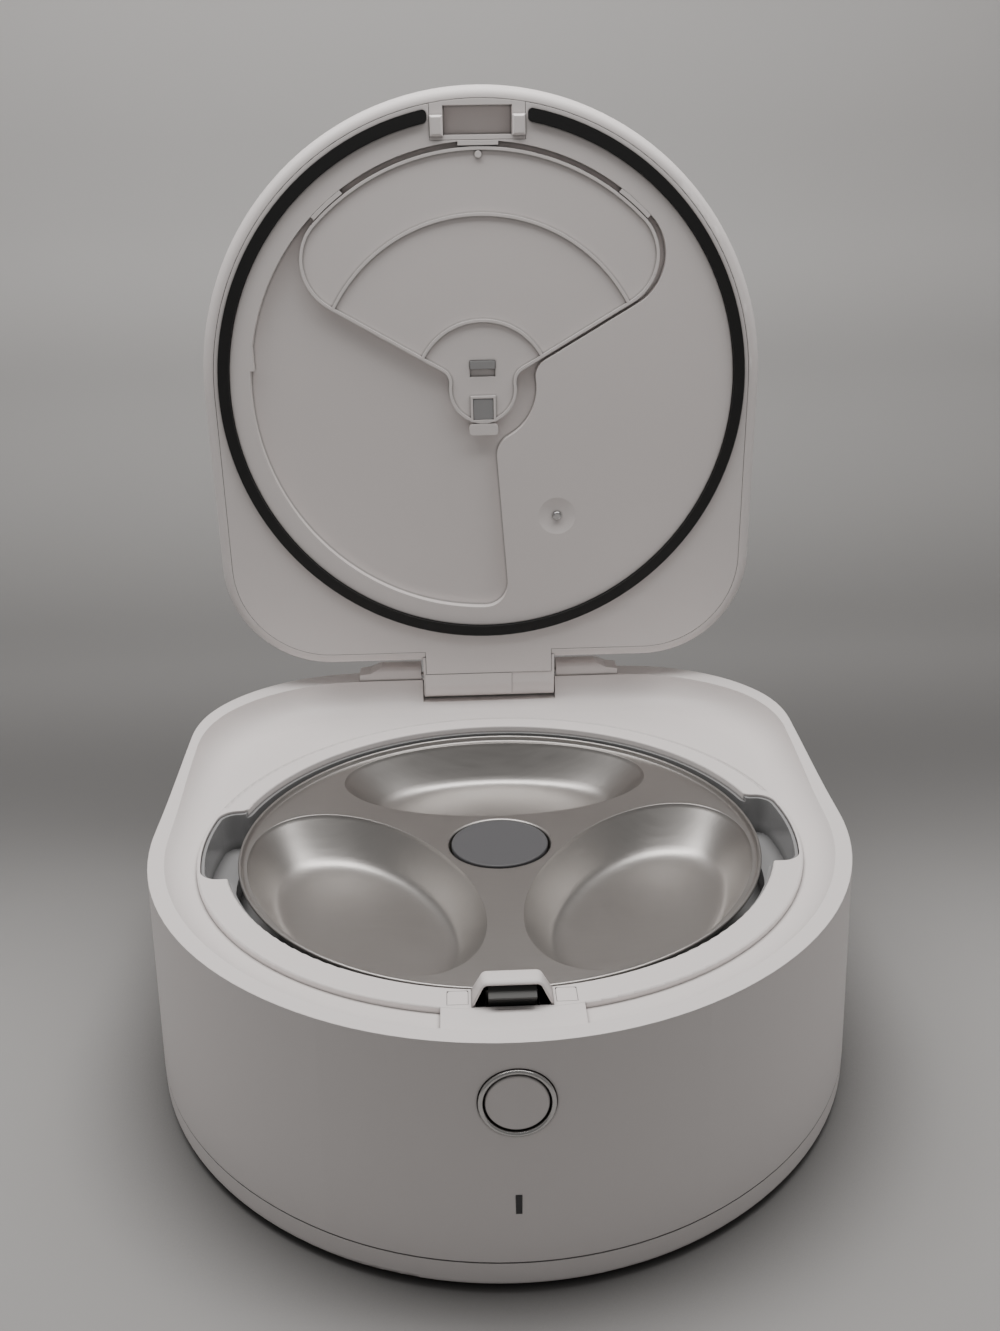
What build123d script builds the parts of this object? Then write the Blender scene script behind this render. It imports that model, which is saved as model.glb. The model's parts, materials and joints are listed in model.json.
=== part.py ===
from build123d import *
from math import acos, cos, pi, radians, sin, sqrt, tan
import os

os.makedirs("parts", exist_ok=True)

# Automatic wet food feeder for a cat: a round-fronted base with a chilled, turning tray,
# and a hinged lid that carries a rotating door. Every size is in millimetres.
# Heights are from the table. Places in plan are from the tray axis, +Y to the hinge.

# Tray, and the rings that follow it outwards
tray_r = 120.2
tray_gap = 2.1
ring_step = 3.0
ring_width = 12.7
liner_r = tray_r + tray_gap
ring_in_r = liner_r + ring_step
ring_out_r = ring_in_r + ring_width

# Base casing
side_margin = 21.0
front_margin = 25.75
rear_margin = 40.0
base_half_width = ring_out_r + side_margin
base_front = -(ring_out_r + front_margin)
base_side_y = 3.05
front_turn = 61.16
base_rear = ring_out_r + rear_margin
base_corner_r = 84.0
wall_lean = 1.6
wall = 3.0
lip = 5.0
rim_front_z = 109.0
rim_rear_z = 118.7
rim_rise_start = -10.0
rim_rise_end = 130.0
rim_cut = (260.0, 160.0)
rear_lip = 14.5
deck_z = 101.7
deck_thickness = 3.0
flank_r = 15.0
seam_z = 14.3
seam_line = 0.6
cover_z = 2.5
cover_edge_r = 3.0
foot_r = 10.0
foot_inset = 43.0
foot_x = base_half_width - foot_inset
foot_front_y = -91.0
foot_rear_y = 140.0
post_r = 4.5
post_inset = 12.0
post_x = base_half_width - post_inset
post_front_y = -20.0
post_rear_y = 90.0
screw_r = 1.35
screw_length = 20.0
screw_head_r = 3.4
screw_head = 2.5
hole_gap = 0.3
vents = 7
vent_pitch = 8.0
vent_length = 52.0
vent_width = 4.0
inlet_x = 62.0
inlet_z = 48.0
inlet_neck = 11.0
inlet_corner_r = 2.0
inlet_bore_r = 2.8
inlet_bore = 9.0
inlet_body = (14.0, 13.0)
inlet_depth = 14.0

# Seat for the lid around the well
ring_z = 104.5
ring_edge_r = 0.8
ring_gap_half = 26.5
ring_groove_r = 1.1
ring_groove_inset = 1.6
ring_groove_lift = 0.15
ear_width = 11.1
ear_reach = ring_in_r + ear_width
ear_front = -36.0
ear_back = 30.0
ear_corner_r = 9.0
ear_neck_r = 4.0
ear_depth = 20.0
front_deck_depth = 23.0
front_deck_y = -(ring_out_r + 8.5)
ring_flange_width = 4.0
ring_flange_r = ring_out_r + ring_flange_width
ring_flange = 2.0

# Well, tray and turntable
liner_wall = 1.5
liner_lip_z = 101.0
liner_floor_z = 73.5
liner_floor = 2.0
tray_top_z = 98.6
tray_sheet = 1.2
tray_roll_r = 1.2
tray_hole_r = 23.5
cup_half_length = 78.0
cup_half_width = 44.0
cup_centre_r = 71.5
cup_depth = 20.0
cup_shares = [(0.0, 1.0), (0.1, 0.962), (0.45, 0.87), (0.8, 0.765), (1.0, 0.66)]
cap_r = 22.5
cap_z = 98.9
hub_r = 21.5
hub_flange_r = 62.0
hub_flange = 2.4
shaft_r = 6.0
running = 0.06
fixed = 0.02
bush_r = 9.0
bush_length = 9.0
pillar_r = 12.0
shaft_seat = 13.5
gear_hole_r = 6.0
gear_hole_ring = 21.0

# Tray drive
drive_module = 1.5
drive_teeth = 48
drive_pinion_teeth = 12
drive_gear_z = 44.0
drive_face = 8.0
drive_motor_angle = 225.0
drive_motor_r = 17.0
drive_motor_z = 12.0
drive_motor_length = 27.0
motor_shaft_r = 2.5
tooth_backlash = 0.3
pressure_angle = 25.0

# Cooling stack
cooler_y = 78.0
cold_plate_side = 68.0
cold_plate_height = 5.0
module_side = 40.0
module_height = 3.8
sink_base = 4.0
sink_fin_height = 22.0
sink_fin = 1.2
sink_fins = 11
fan_side = 70.0
fan_height = 15.0
fan_bore_r = 32.0
fan_hub_r = 10.5
fan_pin_r = 2.0
fan_post_r = 3.5
fan_hole_r = 1.7
fan_peg_r = 1.6
fan_blades = 7
fan_screw_half = 31.0
insulation_inset = 3.5
insulation_r = ring_out_r - insulation_inset
insulation_top_z = 94.4
insulation_depth = 11.0

# Control board
board_x = 90.0
board_y = -45.0
board_z = 30.0
board_length = 72.0
board_width = 48.0
board_sheet = 1.6
board_post_r = 3.0
board_margin = 5.0
chip_blocks = [(-20.0, 0.0, 16.0, 12.0), (8.0, 9.0, 12.0, 12.0)]
chip_height = 9.0
plug_block = (8.0, -12.0, 20.0, 7.0)
capacitor_x = 26.0
capacitor_r = 4.0
plug_height = 12.0

# Front button, light and latch
button_z = 84.3
button_ring_r = 14.2
button_ring_in_r = 11.8
button_cap_r = 11.5
button_travel = 2.5
button_stem_r = 3.0
button_guide = 20.0
button_cap_height = 5.0
spring_in_r = 3.7
spring_out_r = 5.2
light_z = 40.4
light_width = 2.2
light_height = 8.3
tower_inset = 1.2
tower_front = tower_inset - ring_out_r
tower_depth = 12.0
tower_width = 31.0
tower_top_width = 20.5
tower_height = 11.4
window_bottom = 13.3
window_top = 10.3
window_height = 7.9
hook_half_width = 9.4
hook_thickness = 4.0
hook_setback = 3.2
hook_reach = 4.9
hook_front = tower_front + hook_setback
hook_nose = hook_front - hook_reach
hook_catch_z = 109.0
hook_top_z = 111.7
side_panel_in = 16.2
side_panel_out = 24.2
side_panel_front = tower_front + 2.5
side_panel_back = -(ring_in_r + hole_gap)
side_panel_sheet = 1.2

# Lid, modelled closed
lid_margin = 8.5
lid_rear_margin = 16.0
lid_half_width = ring_out_r + lid_margin
lid_rear = ring_out_r + lid_rear_margin
lid_corner_r = 58.0
lid_face_z = 107.0
lid_top_z = 166.0
lid_wall = 2.6
lid_bottom_edge_r = 5.6
lid_top_edge_r = 24.0
panel_inset = 6.2
panel_thickness = 3.0
panel_flange = 1.5
panel_flange_inset = 3.0
gasket_width = 5.7
gasket_out_r = ring_out_r
gasket_in_r = gasket_out_r - gasket_width
gasket_z = 104.9
gasket_groove = 1.7
gasket_gap_half = 25.0
keeper_half_width = 23.4
keeper_depth = 10.5
keeper_back = keeper_depth - gasket_in_r
keeper_pocket_half = 16.9
keeper_top_z = 118.5
keeper_pad_x = 20.2
keeper_pad_y = 4.0 - gasket_in_r
keeper_pad = (6.4, 9.6)

# Hinge
hinge_inset = 10.0
hinge_y = base_rear - hinge_inset
hinge_z = 119.0
open_angle = 87.7
barrel_r = 11.7
barrel_half = 37.5
barrel_gap = 0.9
pin_r = 3.0
pin_half = 73.0
cover_half = 75.0
cover_gap = 1.8
cover_inner = barrel_half + cover_gap
cover_front = hinge_y - 3.7
cover_rear = hinge_y + 9.3
cover_split_z = 118.7
cover_top_z = 126.5
notch_front = hinge_y - 18.0
tongue_back = hinge_y - 6.5
hinge_spring_r = 7.0
hinge_spring_in = -4.0
hinge_spring_out = -30.0
patch_left = -36.8
patch_right = 13.0
patch_sheet = 0.4
patch_front = hinge_y - 6.1
patch_top_z = 117.0

# Rotating door and its pocket in the lid
pocket_margin = 10.9
pocket_r = gasket_in_r - pocket_margin
pocket_z = 112.0
pocket_floor = 2.5
pocket_edge = 3.7
pocket_hub_r = 28.3
pocket_side_near = 6.2
pocket_side_far = 12.5
door_gap = 2.7
door_r = pocket_r - door_gap
door_edge = 2.07
door_corner_r = 26.3
door_z = 108.5
door_thickness = 2.5
door_rib = 1.6
door_rib_z = 107.2
door_rib_radii = (87.2, 35.4)
door_hub_r = 17.9
door_slot = (13.4, 8.6)
door_slot_y = -10.8
door_slide = 4.0
door_window_size = (10.8, 11.2)
door_window_y = 10.2
aperture_in_r = 40.0
aperture_out_r = 104.0
aperture_half_angle = 53.0
aperture_corner_r = 12.0
funnel_wall = 2.2
funnel_flare = 10.0
door_module = 1.0
door_teeth = 48
door_pinion_teeth = 16
door_gear_z = 117.0
door_face = 5.0
door_motor_angle = 45.0
door_motor_r = 10.0
door_motor_length = 24.0
door_motor_post = 14.5
door_motor_lug = 8.0
probe_x = 39.1
probe_y = 69.5
probe_r = 2.4
dimple_r = 10.3
dimple_depth = 1.2
catch_size = (15.4, 6.2)
catch_height = 3.4
guide_angles = (-49.3, 230.7)
guide_spread = 4.6

# The whole object stands with its box centred on the origin
lean_rate = tan(radians(wall_lean))
base_spread = (rim_front_z - seam_z) * lean_rate
front_reach = base_spread - base_front
lid_reach = hinge_y + (lid_top_z - hinge_z) * sin(radians(open_angle))
tray_y = (front_reach - lid_reach) / 2
side_plane = Plane(origin=(0, tray_y, 0), x_dir=(0, 1, 0), z_dir=(1, 0, 0))
section_plane = Plane(origin=(0, tray_y, 0), x_dir=(1, 0, 0), z_dir=(0, -1, 0))
tray_axis = Axis((0, tray_y, 0), (0, 0, 1))
hinge_axis = Axis((0, tray_y + hinge_y, hinge_z), (1, 0, 0))


def level(z):
    return Plane((0, tray_y, z))


def facing(y):
    return Plane(origin=(0, tray_y + y, 0), x_dir=(1, 0, 0), z_dir=(0, -1, 0))


def across(x):
    return Plane(origin=(x, tray_y, 0), x_dir=(0, 1, 0), z_dir=(1, 0, 0))


# The front is three arcs: one on each side, which turns by front_turn, and the nose that they meet
nose_depth = base_side_y - base_front
turn_x = cos(radians(front_turn))
turn_y = sin(radians(front_turn))
arc_step = (nose_depth - base_half_width) / (turn_x + turn_y - 1)
side_offset = arc_step * turn_x
side_r = base_half_width + side_offset
nose_r = side_r - arc_step
nose_y = base_front + nose_r


def base_outline(inset, rear_inset):
    half = base_half_width - inset
    rear = base_rear - rear_inset
    with BuildSketch() as sketch:
        with BuildLine():
            CenterArc((-side_offset, base_side_y), side_r - inset, -front_turn, front_turn)
            CenterArc((0, nose_y), nose_r - inset, front_turn - 180, 180 - 2 * front_turn)
            CenterArc((side_offset, base_side_y), side_r - inset, 180, front_turn)
            Polyline([(-half, base_side_y), (-half, rear), (half, rear), (half, base_side_y)])
        make_face()
        fillet(sketch.vertices().group_by(Axis.Y)[-1], base_corner_r - inset)
    return sketch.sketch


def lid_outline(inset):
    with BuildSketch() as sketch:
        Circle(lid_half_width - inset)
        Rectangle(2 * (lid_half_width - inset), lid_rear - inset, align=(Align.CENTER, Align.MIN))
        fillet(sketch.vertices().group_by(Axis.Y)[-1], lid_corner_r - inset)
    return sketch.sketch


def gear_face(teeth, module, turn):
    # Involute flanks in three chords, thinned by the backlash
    pitch = teeth * module / 2
    base = pitch * cos(radians(pressure_angle))
    tip = pitch + 0.95 * module
    root = pitch - 1.2 * module
    start = max(base, root) * 1.001

    def half_angle(r):
        flank = acos(base / r)
        mean = acos(base / pitch)
        thickness = (pi * module - tooth_backlash) / (4 * pitch)
        return thickness + tan(mean) - mean - tan(flank) + flank

    radii = [root, start, (start + pitch) / 2, pitch, (pitch + tip) / 2, tip]
    halves = [half_angle(max(r, start)) for r in radii]
    points = []
    for tooth in range(teeth):
        middle = radians(turn) + 2 * pi * tooth / teeth
        left = [(r, middle - h) for r, h in zip(radii, halves)]
        right = [(r, middle + h) for r, h in zip(radii, halves)]
        points += left + right[::-1]
    with BuildSketch() as sketch:
        with BuildLine():
            Polyline([(r * cos(a), r * sin(a)) for r, a in points], close=True)
        make_face()
    return sketch.sketch


def ear_outline(inset):
    with BuildSketch() as sketch:
        Circle(ear_reach - inset)
        with Locations((0, (ear_front + ear_back) / 2)):
            Rectangle(2 * ear_reach, ear_back - ear_front - 2 * inset, mode=Mode.INTERSECT)
        fillet(sketch.vertices(), ear_corner_r - inset)
        Circle(ring_in_r - inset)
        necks = sketch.vertices().filter_by(lambda v: abs(v.Y - ear_back + inset) < fixed)
        fillet(necks.sort_by(lambda v: abs(v.X))[:2], ear_neck_r + inset)
    return sketch.sketch


def door_outline(shrink):
    half = radians(60)
    edge = door_edge - shrink
    along = sqrt((door_r - shrink) ** 2 - edge ** 2)
    right = (edge * cos(half) + along * sin(half), edge * sin(half) - along * cos(half))
    left = (-right[0], right[1])
    with BuildSketch() as sketch:
        with BuildLine():
            Line((0, edge / sin(half)), right)
            ThreePointArc(right, (0, -(door_r - shrink)), left)
            Line(left, (0, edge / sin(half)))
        make_face()
        fillet(sketch.vertices().group_by(Axis.Y)[0], door_corner_r - shrink)
        Circle(door_hub_r - shrink)
        necks = sketch.vertices().filter_by(lambda v: 5 < abs(v.X) < 30)
        fillet(necks.sort_by(Axis.Y)[-2:], 7 + shrink)
    return sketch.sketch


def pocket_outline():
    half = radians(60)
    reach = sqrt(pocket_r ** 2 - pocket_edge ** 2)
    near = sqrt(pocket_hub_r ** 2 - pocket_edge ** 2)
    corner = (pocket_edge * cos(half) + reach * sin(half), pocket_edge * sin(half) - reach * cos(half))
    elbow = (pocket_edge * cos(half) + near * sin(half), pocket_edge * sin(half) - near * cos(half))
    shoulder = (pocket_side_near, sqrt(pocket_hub_r ** 2 - pocket_side_near ** 2))
    far = (pocket_side_far, sqrt(pocket_r ** 2 - pocket_side_far ** 2))
    with BuildSketch() as sketch:
        with BuildLine():
            Line(shoulder, far)
            ThreePointArc(far, (-pocket_r * cos(radians(20)), -pocket_r * sin(radians(20))), corner)
            Line(corner, elbow)
            ThreePointArc(elbow, (pocket_hub_r * cos(half / 2), pocket_hub_r * sin(half / 2)), shoulder)
        make_face()
        fillet(sketch.vertices().sort_by_distance(far)[0], 13)
        fillet(sketch.vertices().sort_by_distance(corner)[0], 27)
        fillet(sketch.vertices().sort_by_distance(shoulder)[0], 12)
        fillet(sketch.vertices().sort_by_distance(elbow)[0], 10)
    return sketch.sketch


def aperture_outline(grow):
    # The wedge of the feeding opening, on the front side of the tray axis
    spread = radians(aperture_half_angle)
    inner = aperture_in_r
    outer = aperture_out_r
    near = (inner * sin(spread), -inner * cos(spread))
    far = (outer * sin(spread), -outer * cos(spread))
    with BuildSketch() as sketch:
        with BuildLine():
            Line(near, far)
            ThreePointArc(far, (0, -outer), (-far[0], far[1]))
            Line((-far[0], far[1]), (-near[0], near[1]))
            ThreePointArc((-near[0], near[1]), (0, -inner), near)
        make_face()
        fillet(sketch.vertices(), aperture_corner_r)
        if grow:
            offset(amount=grow)
    return sketch.sketch


# Stations that several pieces share
drive_distance = drive_module * (drive_teeth + drive_pinion_teeth) / 2 + 0.2
motor_x = drive_distance * cos(radians(drive_motor_angle))
motor_y = drive_distance * sin(radians(drive_motor_angle))
door_distance = door_module * (door_teeth + door_pinion_teeth) / 2 + 0.15
door_motor_x = door_distance * cos(radians(door_motor_angle))
door_motor_y = door_distance * sin(radians(door_motor_angle))
ear_z = ring_z - ear_depth - 1.2
liner_flange_z = deck_z - deck_thickness - ring_flange - 2
bush_z = liner_floor_z - liner_floor - bush_length
cold_z = liner_floor_z - liner_floor - cold_plate_height
module_z = cold_z - module_height
sink_z = module_z - sink_base - sink_fin_height
fan_z = sink_z - fan_height
flange_z = tray_top_z - cup_depth - tray_sheet - hub_flange
post_places = [(x, y) for x in (-post_x, post_x) for y in (post_front_y, post_rear_y)]
hook_slot_front = tower_front + 0.6
hook_slot_back = tower_front + tower_depth - 1.4
inlet_wall_y = base_rear + (rim_front_z - inlet_z) * lean_rate
button_wall_y = base_front - (rim_front_z - button_z) * lean_rate
light_wall_y = base_front - (rim_front_z - light_z) * lean_rate
button_front = button_wall_y - 0.9
guide_back = button_front + button_guide
panel_places = [(side * (side_panel_in + side_panel_out) / 2, (side_panel_front + side_panel_back) / 2)
                for side in (-1, 1)]
lid_cavity_z = lid_top_z - lid_wall
motor_flange_z = door_gear_z + door_face + 1.5
dimple_ball = (dimple_r ** 2 + dimple_depth ** 2) / (2 * dimple_depth)

# Base

with BuildPart() as bowl:
    with BuildSketch(level(deck_z)):
        add(base_outline(lip, rear_lip))
    extrude(amount=30)
    fillet(bowl.faces().sort_by(Axis.Z)[0].edges(), flank_r)

with BuildPart() as housing:
    with BuildSketch(level(seam_z)):
        add(base_outline(-base_spread, -base_spread))
    extrude(amount=rim_rear_z - seam_z, taper=wall_lean)
    with BuildSketch(level(seam_z)):
        add(base_outline(wall - base_spread, wall - base_spread))
    extrude(amount=deck_z - deck_thickness - seam_z, taper=wall_lean, mode=Mode.SUBTRACT)
    with BuildSketch(side_plane):
        with BuildLine():
            Line((-rim_cut[0], rim_front_z), (rim_rise_start, rim_front_z))
            Spline((rim_rise_start, rim_front_z), (rim_rise_end, rim_rear_z), tangents=((1, 0), (1, 0)))
            Line((rim_rise_end, rim_rear_z), (rim_cut[0], rim_rear_z))
            Line((rim_cut[0], rim_rear_z), rim_cut)
            Line(rim_cut, (-rim_cut[0], rim_cut[1]))
            Line((-rim_cut[0], rim_cut[1]), (-rim_cut[0], rim_front_z))
        make_face()
    extrude(amount=200, both=True, mode=Mode.SUBTRACT)
    add(bowl.part, mode=Mode.SUBTRACT)
    # The deck is raised at the front middle, and open inside for the seat ring
    with BuildSketch(level(deck_z - 0.5)):
        with Locations((0, front_deck_y)):
            Rectangle(2 * ring_gap_half, front_deck_depth)
    extrude(amount=ring_z - deck_z + 0.5)
    with BuildSketch(level(deck_z - deck_thickness - 1)):
        Circle(ring_out_r + fixed)
    extrude(amount=20, mode=Mode.SUBTRACT)
    # A notch in the rear rim takes the lid's hinge block
    with BuildSketch(side_plane):
        with Locations((notch_front, hinge_z - barrel_r - barrel_gap)):
            Rectangle(base_rear, base_rear, align=(Align.MIN, Align.MIN))
    extrude(amount=barrel_half + barrel_gap, both=True, mode=Mode.SUBTRACT)
    with BuildSketch(side_plane):
        with Locations((hinge_y, hinge_z)):
            Circle(pin_r + fixed)
    extrude(amount=pin_half + 0.4, both=True, mode=Mode.SUBTRACT)
    # Holes for the button, the light, the power inlet and the latch
    with BuildSketch(facing(button_wall_y + button_ring_r)):
        with Locations((0, button_z)):
            Circle(button_ring_r + 0.05)
        with Locations((0, light_z)):
            Rectangle(light_width + 0.1, light_height + 0.1)
    extrude(amount=30, mode=Mode.SUBTRACT)
    with BuildSketch(facing(base_rear + 20)):
        with Locations((inlet_x, inlet_z)):
            RectangleRounded(inlet_neck + 0.2, inlet_neck + 0.2, inlet_corner_r + 0.1)
    extrude(amount=30, mode=Mode.SUBTRACT)
    # Posts that take the bottom screws
    with BuildSketch(level(seam_z)):
        with Locations(post_places):
            Circle(post_r)
    extrude(amount=deck_z - deck_thickness - seam_z + 0.5)
    with BuildSketch(level(seam_z)):
        with Locations(post_places):
            Circle(screw_r + 0.05)
    extrude(amount=16, mode=Mode.SUBTRACT)

with BuildPart() as ring_groove:
    with BuildSketch(section_plane):
        with Locations((ring_out_r - ring_groove_inset, ring_z + ring_groove_lift)):
            Circle(ring_groove_r)
    revolve(axis=tray_axis)
    with BuildSketch(level(deck_z)):
        with Locations((0, ear_back + ear_neck_r)):
            Rectangle(2 * ring_out_r, 2 * ring_out_r, align=(Align.CENTER, Align.MAX))
    extrude(amount=20, mode=Mode.SUBTRACT)

with BuildPart() as seat_ring:
    with BuildSketch(section_plane) as ring_section:
        with Locations(((ring_in_r + ring_out_r) / 2, deck_z - deck_thickness)):
            Rectangle(ring_out_r - ring_in_r, ring_z - deck_z + deck_thickness,
                      align=(Align.CENTER, Align.MIN))
        fillet(ring_section.vertices().group_by(Axis.Y)[-1], ring_edge_r)
    revolve(axis=tray_axis)
    with BuildSketch(level(deck_z)):
        Circle(ring_out_r)
        with Locations((0, -ring_out_r)):
            Rectangle(2 * ring_gap_half, 2 * (ring_out_r - ring_in_r), mode=Mode.INTERSECT)
    extrude(amount=ring_z - deck_z)
    with BuildSketch(level(deck_z - deck_thickness - ring_flange)):
        Circle(ring_flange_r)
    extrude(amount=ring_flange)
    with BuildSketch(level(deck_z - deck_thickness - ring_flange)):
        Circle(ring_in_r)
    extrude(amount=20, mode=Mode.SUBTRACT)
    with BuildSketch(level(deck_z - deck_thickness - ring_flange)):
        add(ear_outline(0))
    extrude(amount=20, mode=Mode.SUBTRACT)
    # Slot for the latch hook and pockets for the two flush panels
    with BuildSketch(level(deck_z - deck_thickness - ring_flange)):
        with Locations((0, hook_slot_front)):
            Rectangle(2 * hook_half_width + 1, hook_slot_back - hook_slot_front,
                      align=(Align.CENTER, Align.MIN))
    extrude(amount=20, mode=Mode.SUBTRACT)
    with BuildSketch(level(ring_z - side_panel_sheet)):
        with Locations(panel_places):
            Rectangle(side_panel_out - side_panel_in, side_panel_back - side_panel_front)
    extrude(amount=5, mode=Mode.SUBTRACT)
    add(ring_groove.part, mode=Mode.SUBTRACT)

with BuildPart() as bottom_cover:
    with BuildSketch(level(cover_z)):
        add(base_outline(-base_spread, -base_spread))
    extrude(amount=seam_z - seam_line - cover_z)
    fillet(bottom_cover.faces().sort_by(Axis.Z)[0].edges(), cover_edge_r)
    with BuildSketch(level(seam_z - seam_line)):
        add(base_outline(seam_line - base_spread, seam_line - base_spread))
    extrude(amount=seam_line)
    with BuildSketch(level(cover_z + wall)):
        add(base_outline(wall - base_spread, wall - base_spread))
    extrude(amount=seam_z, mode=Mode.SUBTRACT)
    with BuildSketch(level(cover_z + 1)):
        with Locations(post_places):
            Circle(post_r)
    extrude(amount=seam_z - cover_z - 1)
    with BuildSketch(level(cover_z)):
        with Locations(post_places):
            Circle(screw_head_r + hole_gap)
    extrude(amount=5, mode=Mode.SUBTRACT)
    with BuildSketch(level(cover_z)):
        with Locations(post_places):
            Circle(screw_r + 0.25)
    extrude(amount=seam_z, mode=Mode.SUBTRACT)
    # Pillar under the turntable shaft, motor seat, fan posts and board posts
    with BuildSketch(level(cover_z + wall - 0.5)):
        Circle(pillar_r)
        with Locations((motor_x, motor_y)):
            Circle(drive_motor_r - 2)
    extrude(amount=drive_motor_z - cover_z - wall + 0.5)
    with BuildSketch(level(drive_motor_z)):
        Circle(pillar_r)
    extrude(amount=drive_gear_z - 0.6 - drive_motor_z)
    with BuildSketch(level(drive_gear_z - shaft_seat - 0.5)):
        Circle(shaft_r + running)
    extrude(amount=shaft_seat + 0.5, mode=Mode.SUBTRACT)
    with BuildSketch(level(cover_z + wall - 0.5)):
        with Locations((0, cooler_y)):
            with GridLocations(2 * fan_screw_half, 2 * fan_screw_half, 2, 2):
                Circle(fan_post_r)
    extrude(amount=fan_z - cover_z - wall + 0.5)
    with BuildSketch(level(fan_z - 0.5)):
        with Locations((0, cooler_y)):
            with GridLocations(2 * fan_screw_half, 2 * fan_screw_half, 2, 2):
                Circle(fan_peg_r)
    extrude(amount=fan_height)
    with BuildSketch(level(cover_z + wall - 0.5)):
        with Locations((board_x, board_y)):
            with GridLocations(board_length - 2 * board_margin, board_width - 2 * board_margin, 2, 2):
                Circle(board_post_r)
    extrude(amount=board_z - cover_z - wall + 0.5)
    with BuildSketch(level(cover_z - 1)):
        with Locations((0, cooler_y)):
            with GridLocations(vent_pitch, 1, vents, 1):
                SlotOverall(vent_length, vent_width, rotation=90)
    extrude(amount=wall + 2, mode=Mode.SUBTRACT)

with BuildPart() as feet:
    with BuildSketch(level(0)):
        with Locations((-foot_x, foot_front_y), (foot_x, foot_front_y), (-foot_x, foot_rear_y),
                       (foot_x, foot_rear_y)):
            Circle(foot_r)
    extrude(amount=cover_z)
    chamfer(feet.faces().filter_by(Axis.Z).group_by(Axis.Z)[0].edges(), 0.6)

with BuildPart() as housing_screws:
    with BuildSketch(level(cover_z + screw_head)):
        with Locations(post_places):
            Circle(screw_head_r)
    extrude(amount=screw_head)
    with BuildSketch(level(cover_z + 2 * screw_head)):
        with Locations(post_places):
            Circle(screw_r)
    extrude(amount=screw_length)

with BuildPart() as well_liner:
    with BuildSketch(level(liner_floor_z - liner_floor)):
        Circle(liner_r + liner_wall)
    extrude(amount=liner_lip_z - liner_floor_z + liner_floor)
    with BuildSketch(level(liner_flange_z)):
        Circle(ring_in_r + 5)
    extrude(amount=2)
    with BuildSketch(level(liner_flange_z - 1)):
        with Locations((0, -ring_in_r - 0.3)):
            Rectangle(2 * hook_half_width + 5, 20, align=(Align.CENTER, Align.MAX))
    extrude(amount=10, mode=Mode.SUBTRACT)
    with BuildSketch(level(liner_flange_z)):
        Circle(ring_in_r - 0.1)
    extrude(amount=liner_lip_z - liner_flange_z)
    with BuildSketch(level(ear_z)):
        add(ear_outline(hole_gap))
    extrude(amount=ear_depth)
    with BuildSketch(level(ear_z + liner_wall)):
        add(ear_outline(hole_gap + liner_wall))
    extrude(amount=ear_depth, mode=Mode.SUBTRACT)
    with BuildSketch(level(liner_floor_z)):
        Circle(liner_r)
    extrude(amount=60, mode=Mode.SUBTRACT)
    with BuildSketch(level(liner_lip_z)):
        Circle(ring_in_r + 0.01)
        with Locations((0, ear_front - 4)):
            Rectangle(2 * base_rear, 2 * base_rear, align=(Align.CENTER, Align.MAX))
    extrude(amount=10, mode=Mode.SUBTRACT)
    with BuildSketch(level(bush_z)):
        Circle(pillar_r)
    extrude(amount=bush_length + 1)
    with BuildSketch(level(bush_z)):
        Circle(bush_r + fixed)
    extrude(amount=bush_length, mode=Mode.SUBTRACT)
    with BuildSketch(level(bush_z)):
        Circle(shaft_r + running)
    extrude(amount=2 * bush_length, mode=Mode.SUBTRACT)

with BuildPart() as shaft_bush:
    with BuildSketch(level(bush_z)):
        Circle(bush_r)
        Circle(shaft_r + running, mode=Mode.SUBTRACT)
    extrude(amount=bush_length)

with BuildPart() as insulation:
    with BuildSketch(level(liner_floor_z - liner_floor - insulation_depth)):
        Circle(insulation_r)
    extrude(amount=insulation_top_z - liner_floor_z + liner_floor + insulation_depth)
    with BuildSketch(level(liner_floor_z - liner_floor - 0.2)):
        Circle(ring_in_r + 0.2)
    extrude(amount=40, mode=Mode.SUBTRACT)
    with BuildSketch(level(sink_z)):
        Circle(pillar_r + 2)
        with Locations((0, cooler_y)):
            Rectangle(cold_plate_side + 1, cold_plate_side + 1)
        with Locations((0, -insulation_r)):
            Rectangle(2 * ring_gap_half, 30)
    extrude(amount=60, mode=Mode.SUBTRACT)
    with BuildSketch(level(ring_z - ear_depth - 3)):
        with Locations((0, (ear_front + ear_back) / 2)):
            Rectangle(2 * base_half_width, ear_back - ear_front + 4)
    extrude(amount=40, mode=Mode.SUBTRACT)

with BuildPart() as cold_plate:
    with BuildSketch(level(cold_z)):
        with Locations((0, cooler_y)):
            Rectangle(cold_plate_side, cold_plate_side)
    extrude(amount=cold_plate_height)
    chamfer(cold_plate.edges().filter_by(Axis.Z), 2)

with BuildPart() as thermoelectric_module:
    with BuildSketch(level(module_z)):
        with Locations((0, cooler_y)):
            Rectangle(module_side, module_side)
    extrude(amount=module_height)

with BuildPart() as heat_sink:
    with BuildSketch(level(sink_z + sink_fin_height)):
        with Locations((0, cooler_y)):
            Rectangle(cold_plate_side, cold_plate_side)
    extrude(amount=sink_base)
    with BuildSketch(level(sink_z)):
        with Locations((0, cooler_y)):
            with GridLocations((cold_plate_side - sink_fin) / (sink_fins - 1), 1, sink_fins, 1):
                Rectangle(sink_fin, cold_plate_side)
    extrude(amount=sink_fin_height)

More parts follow.
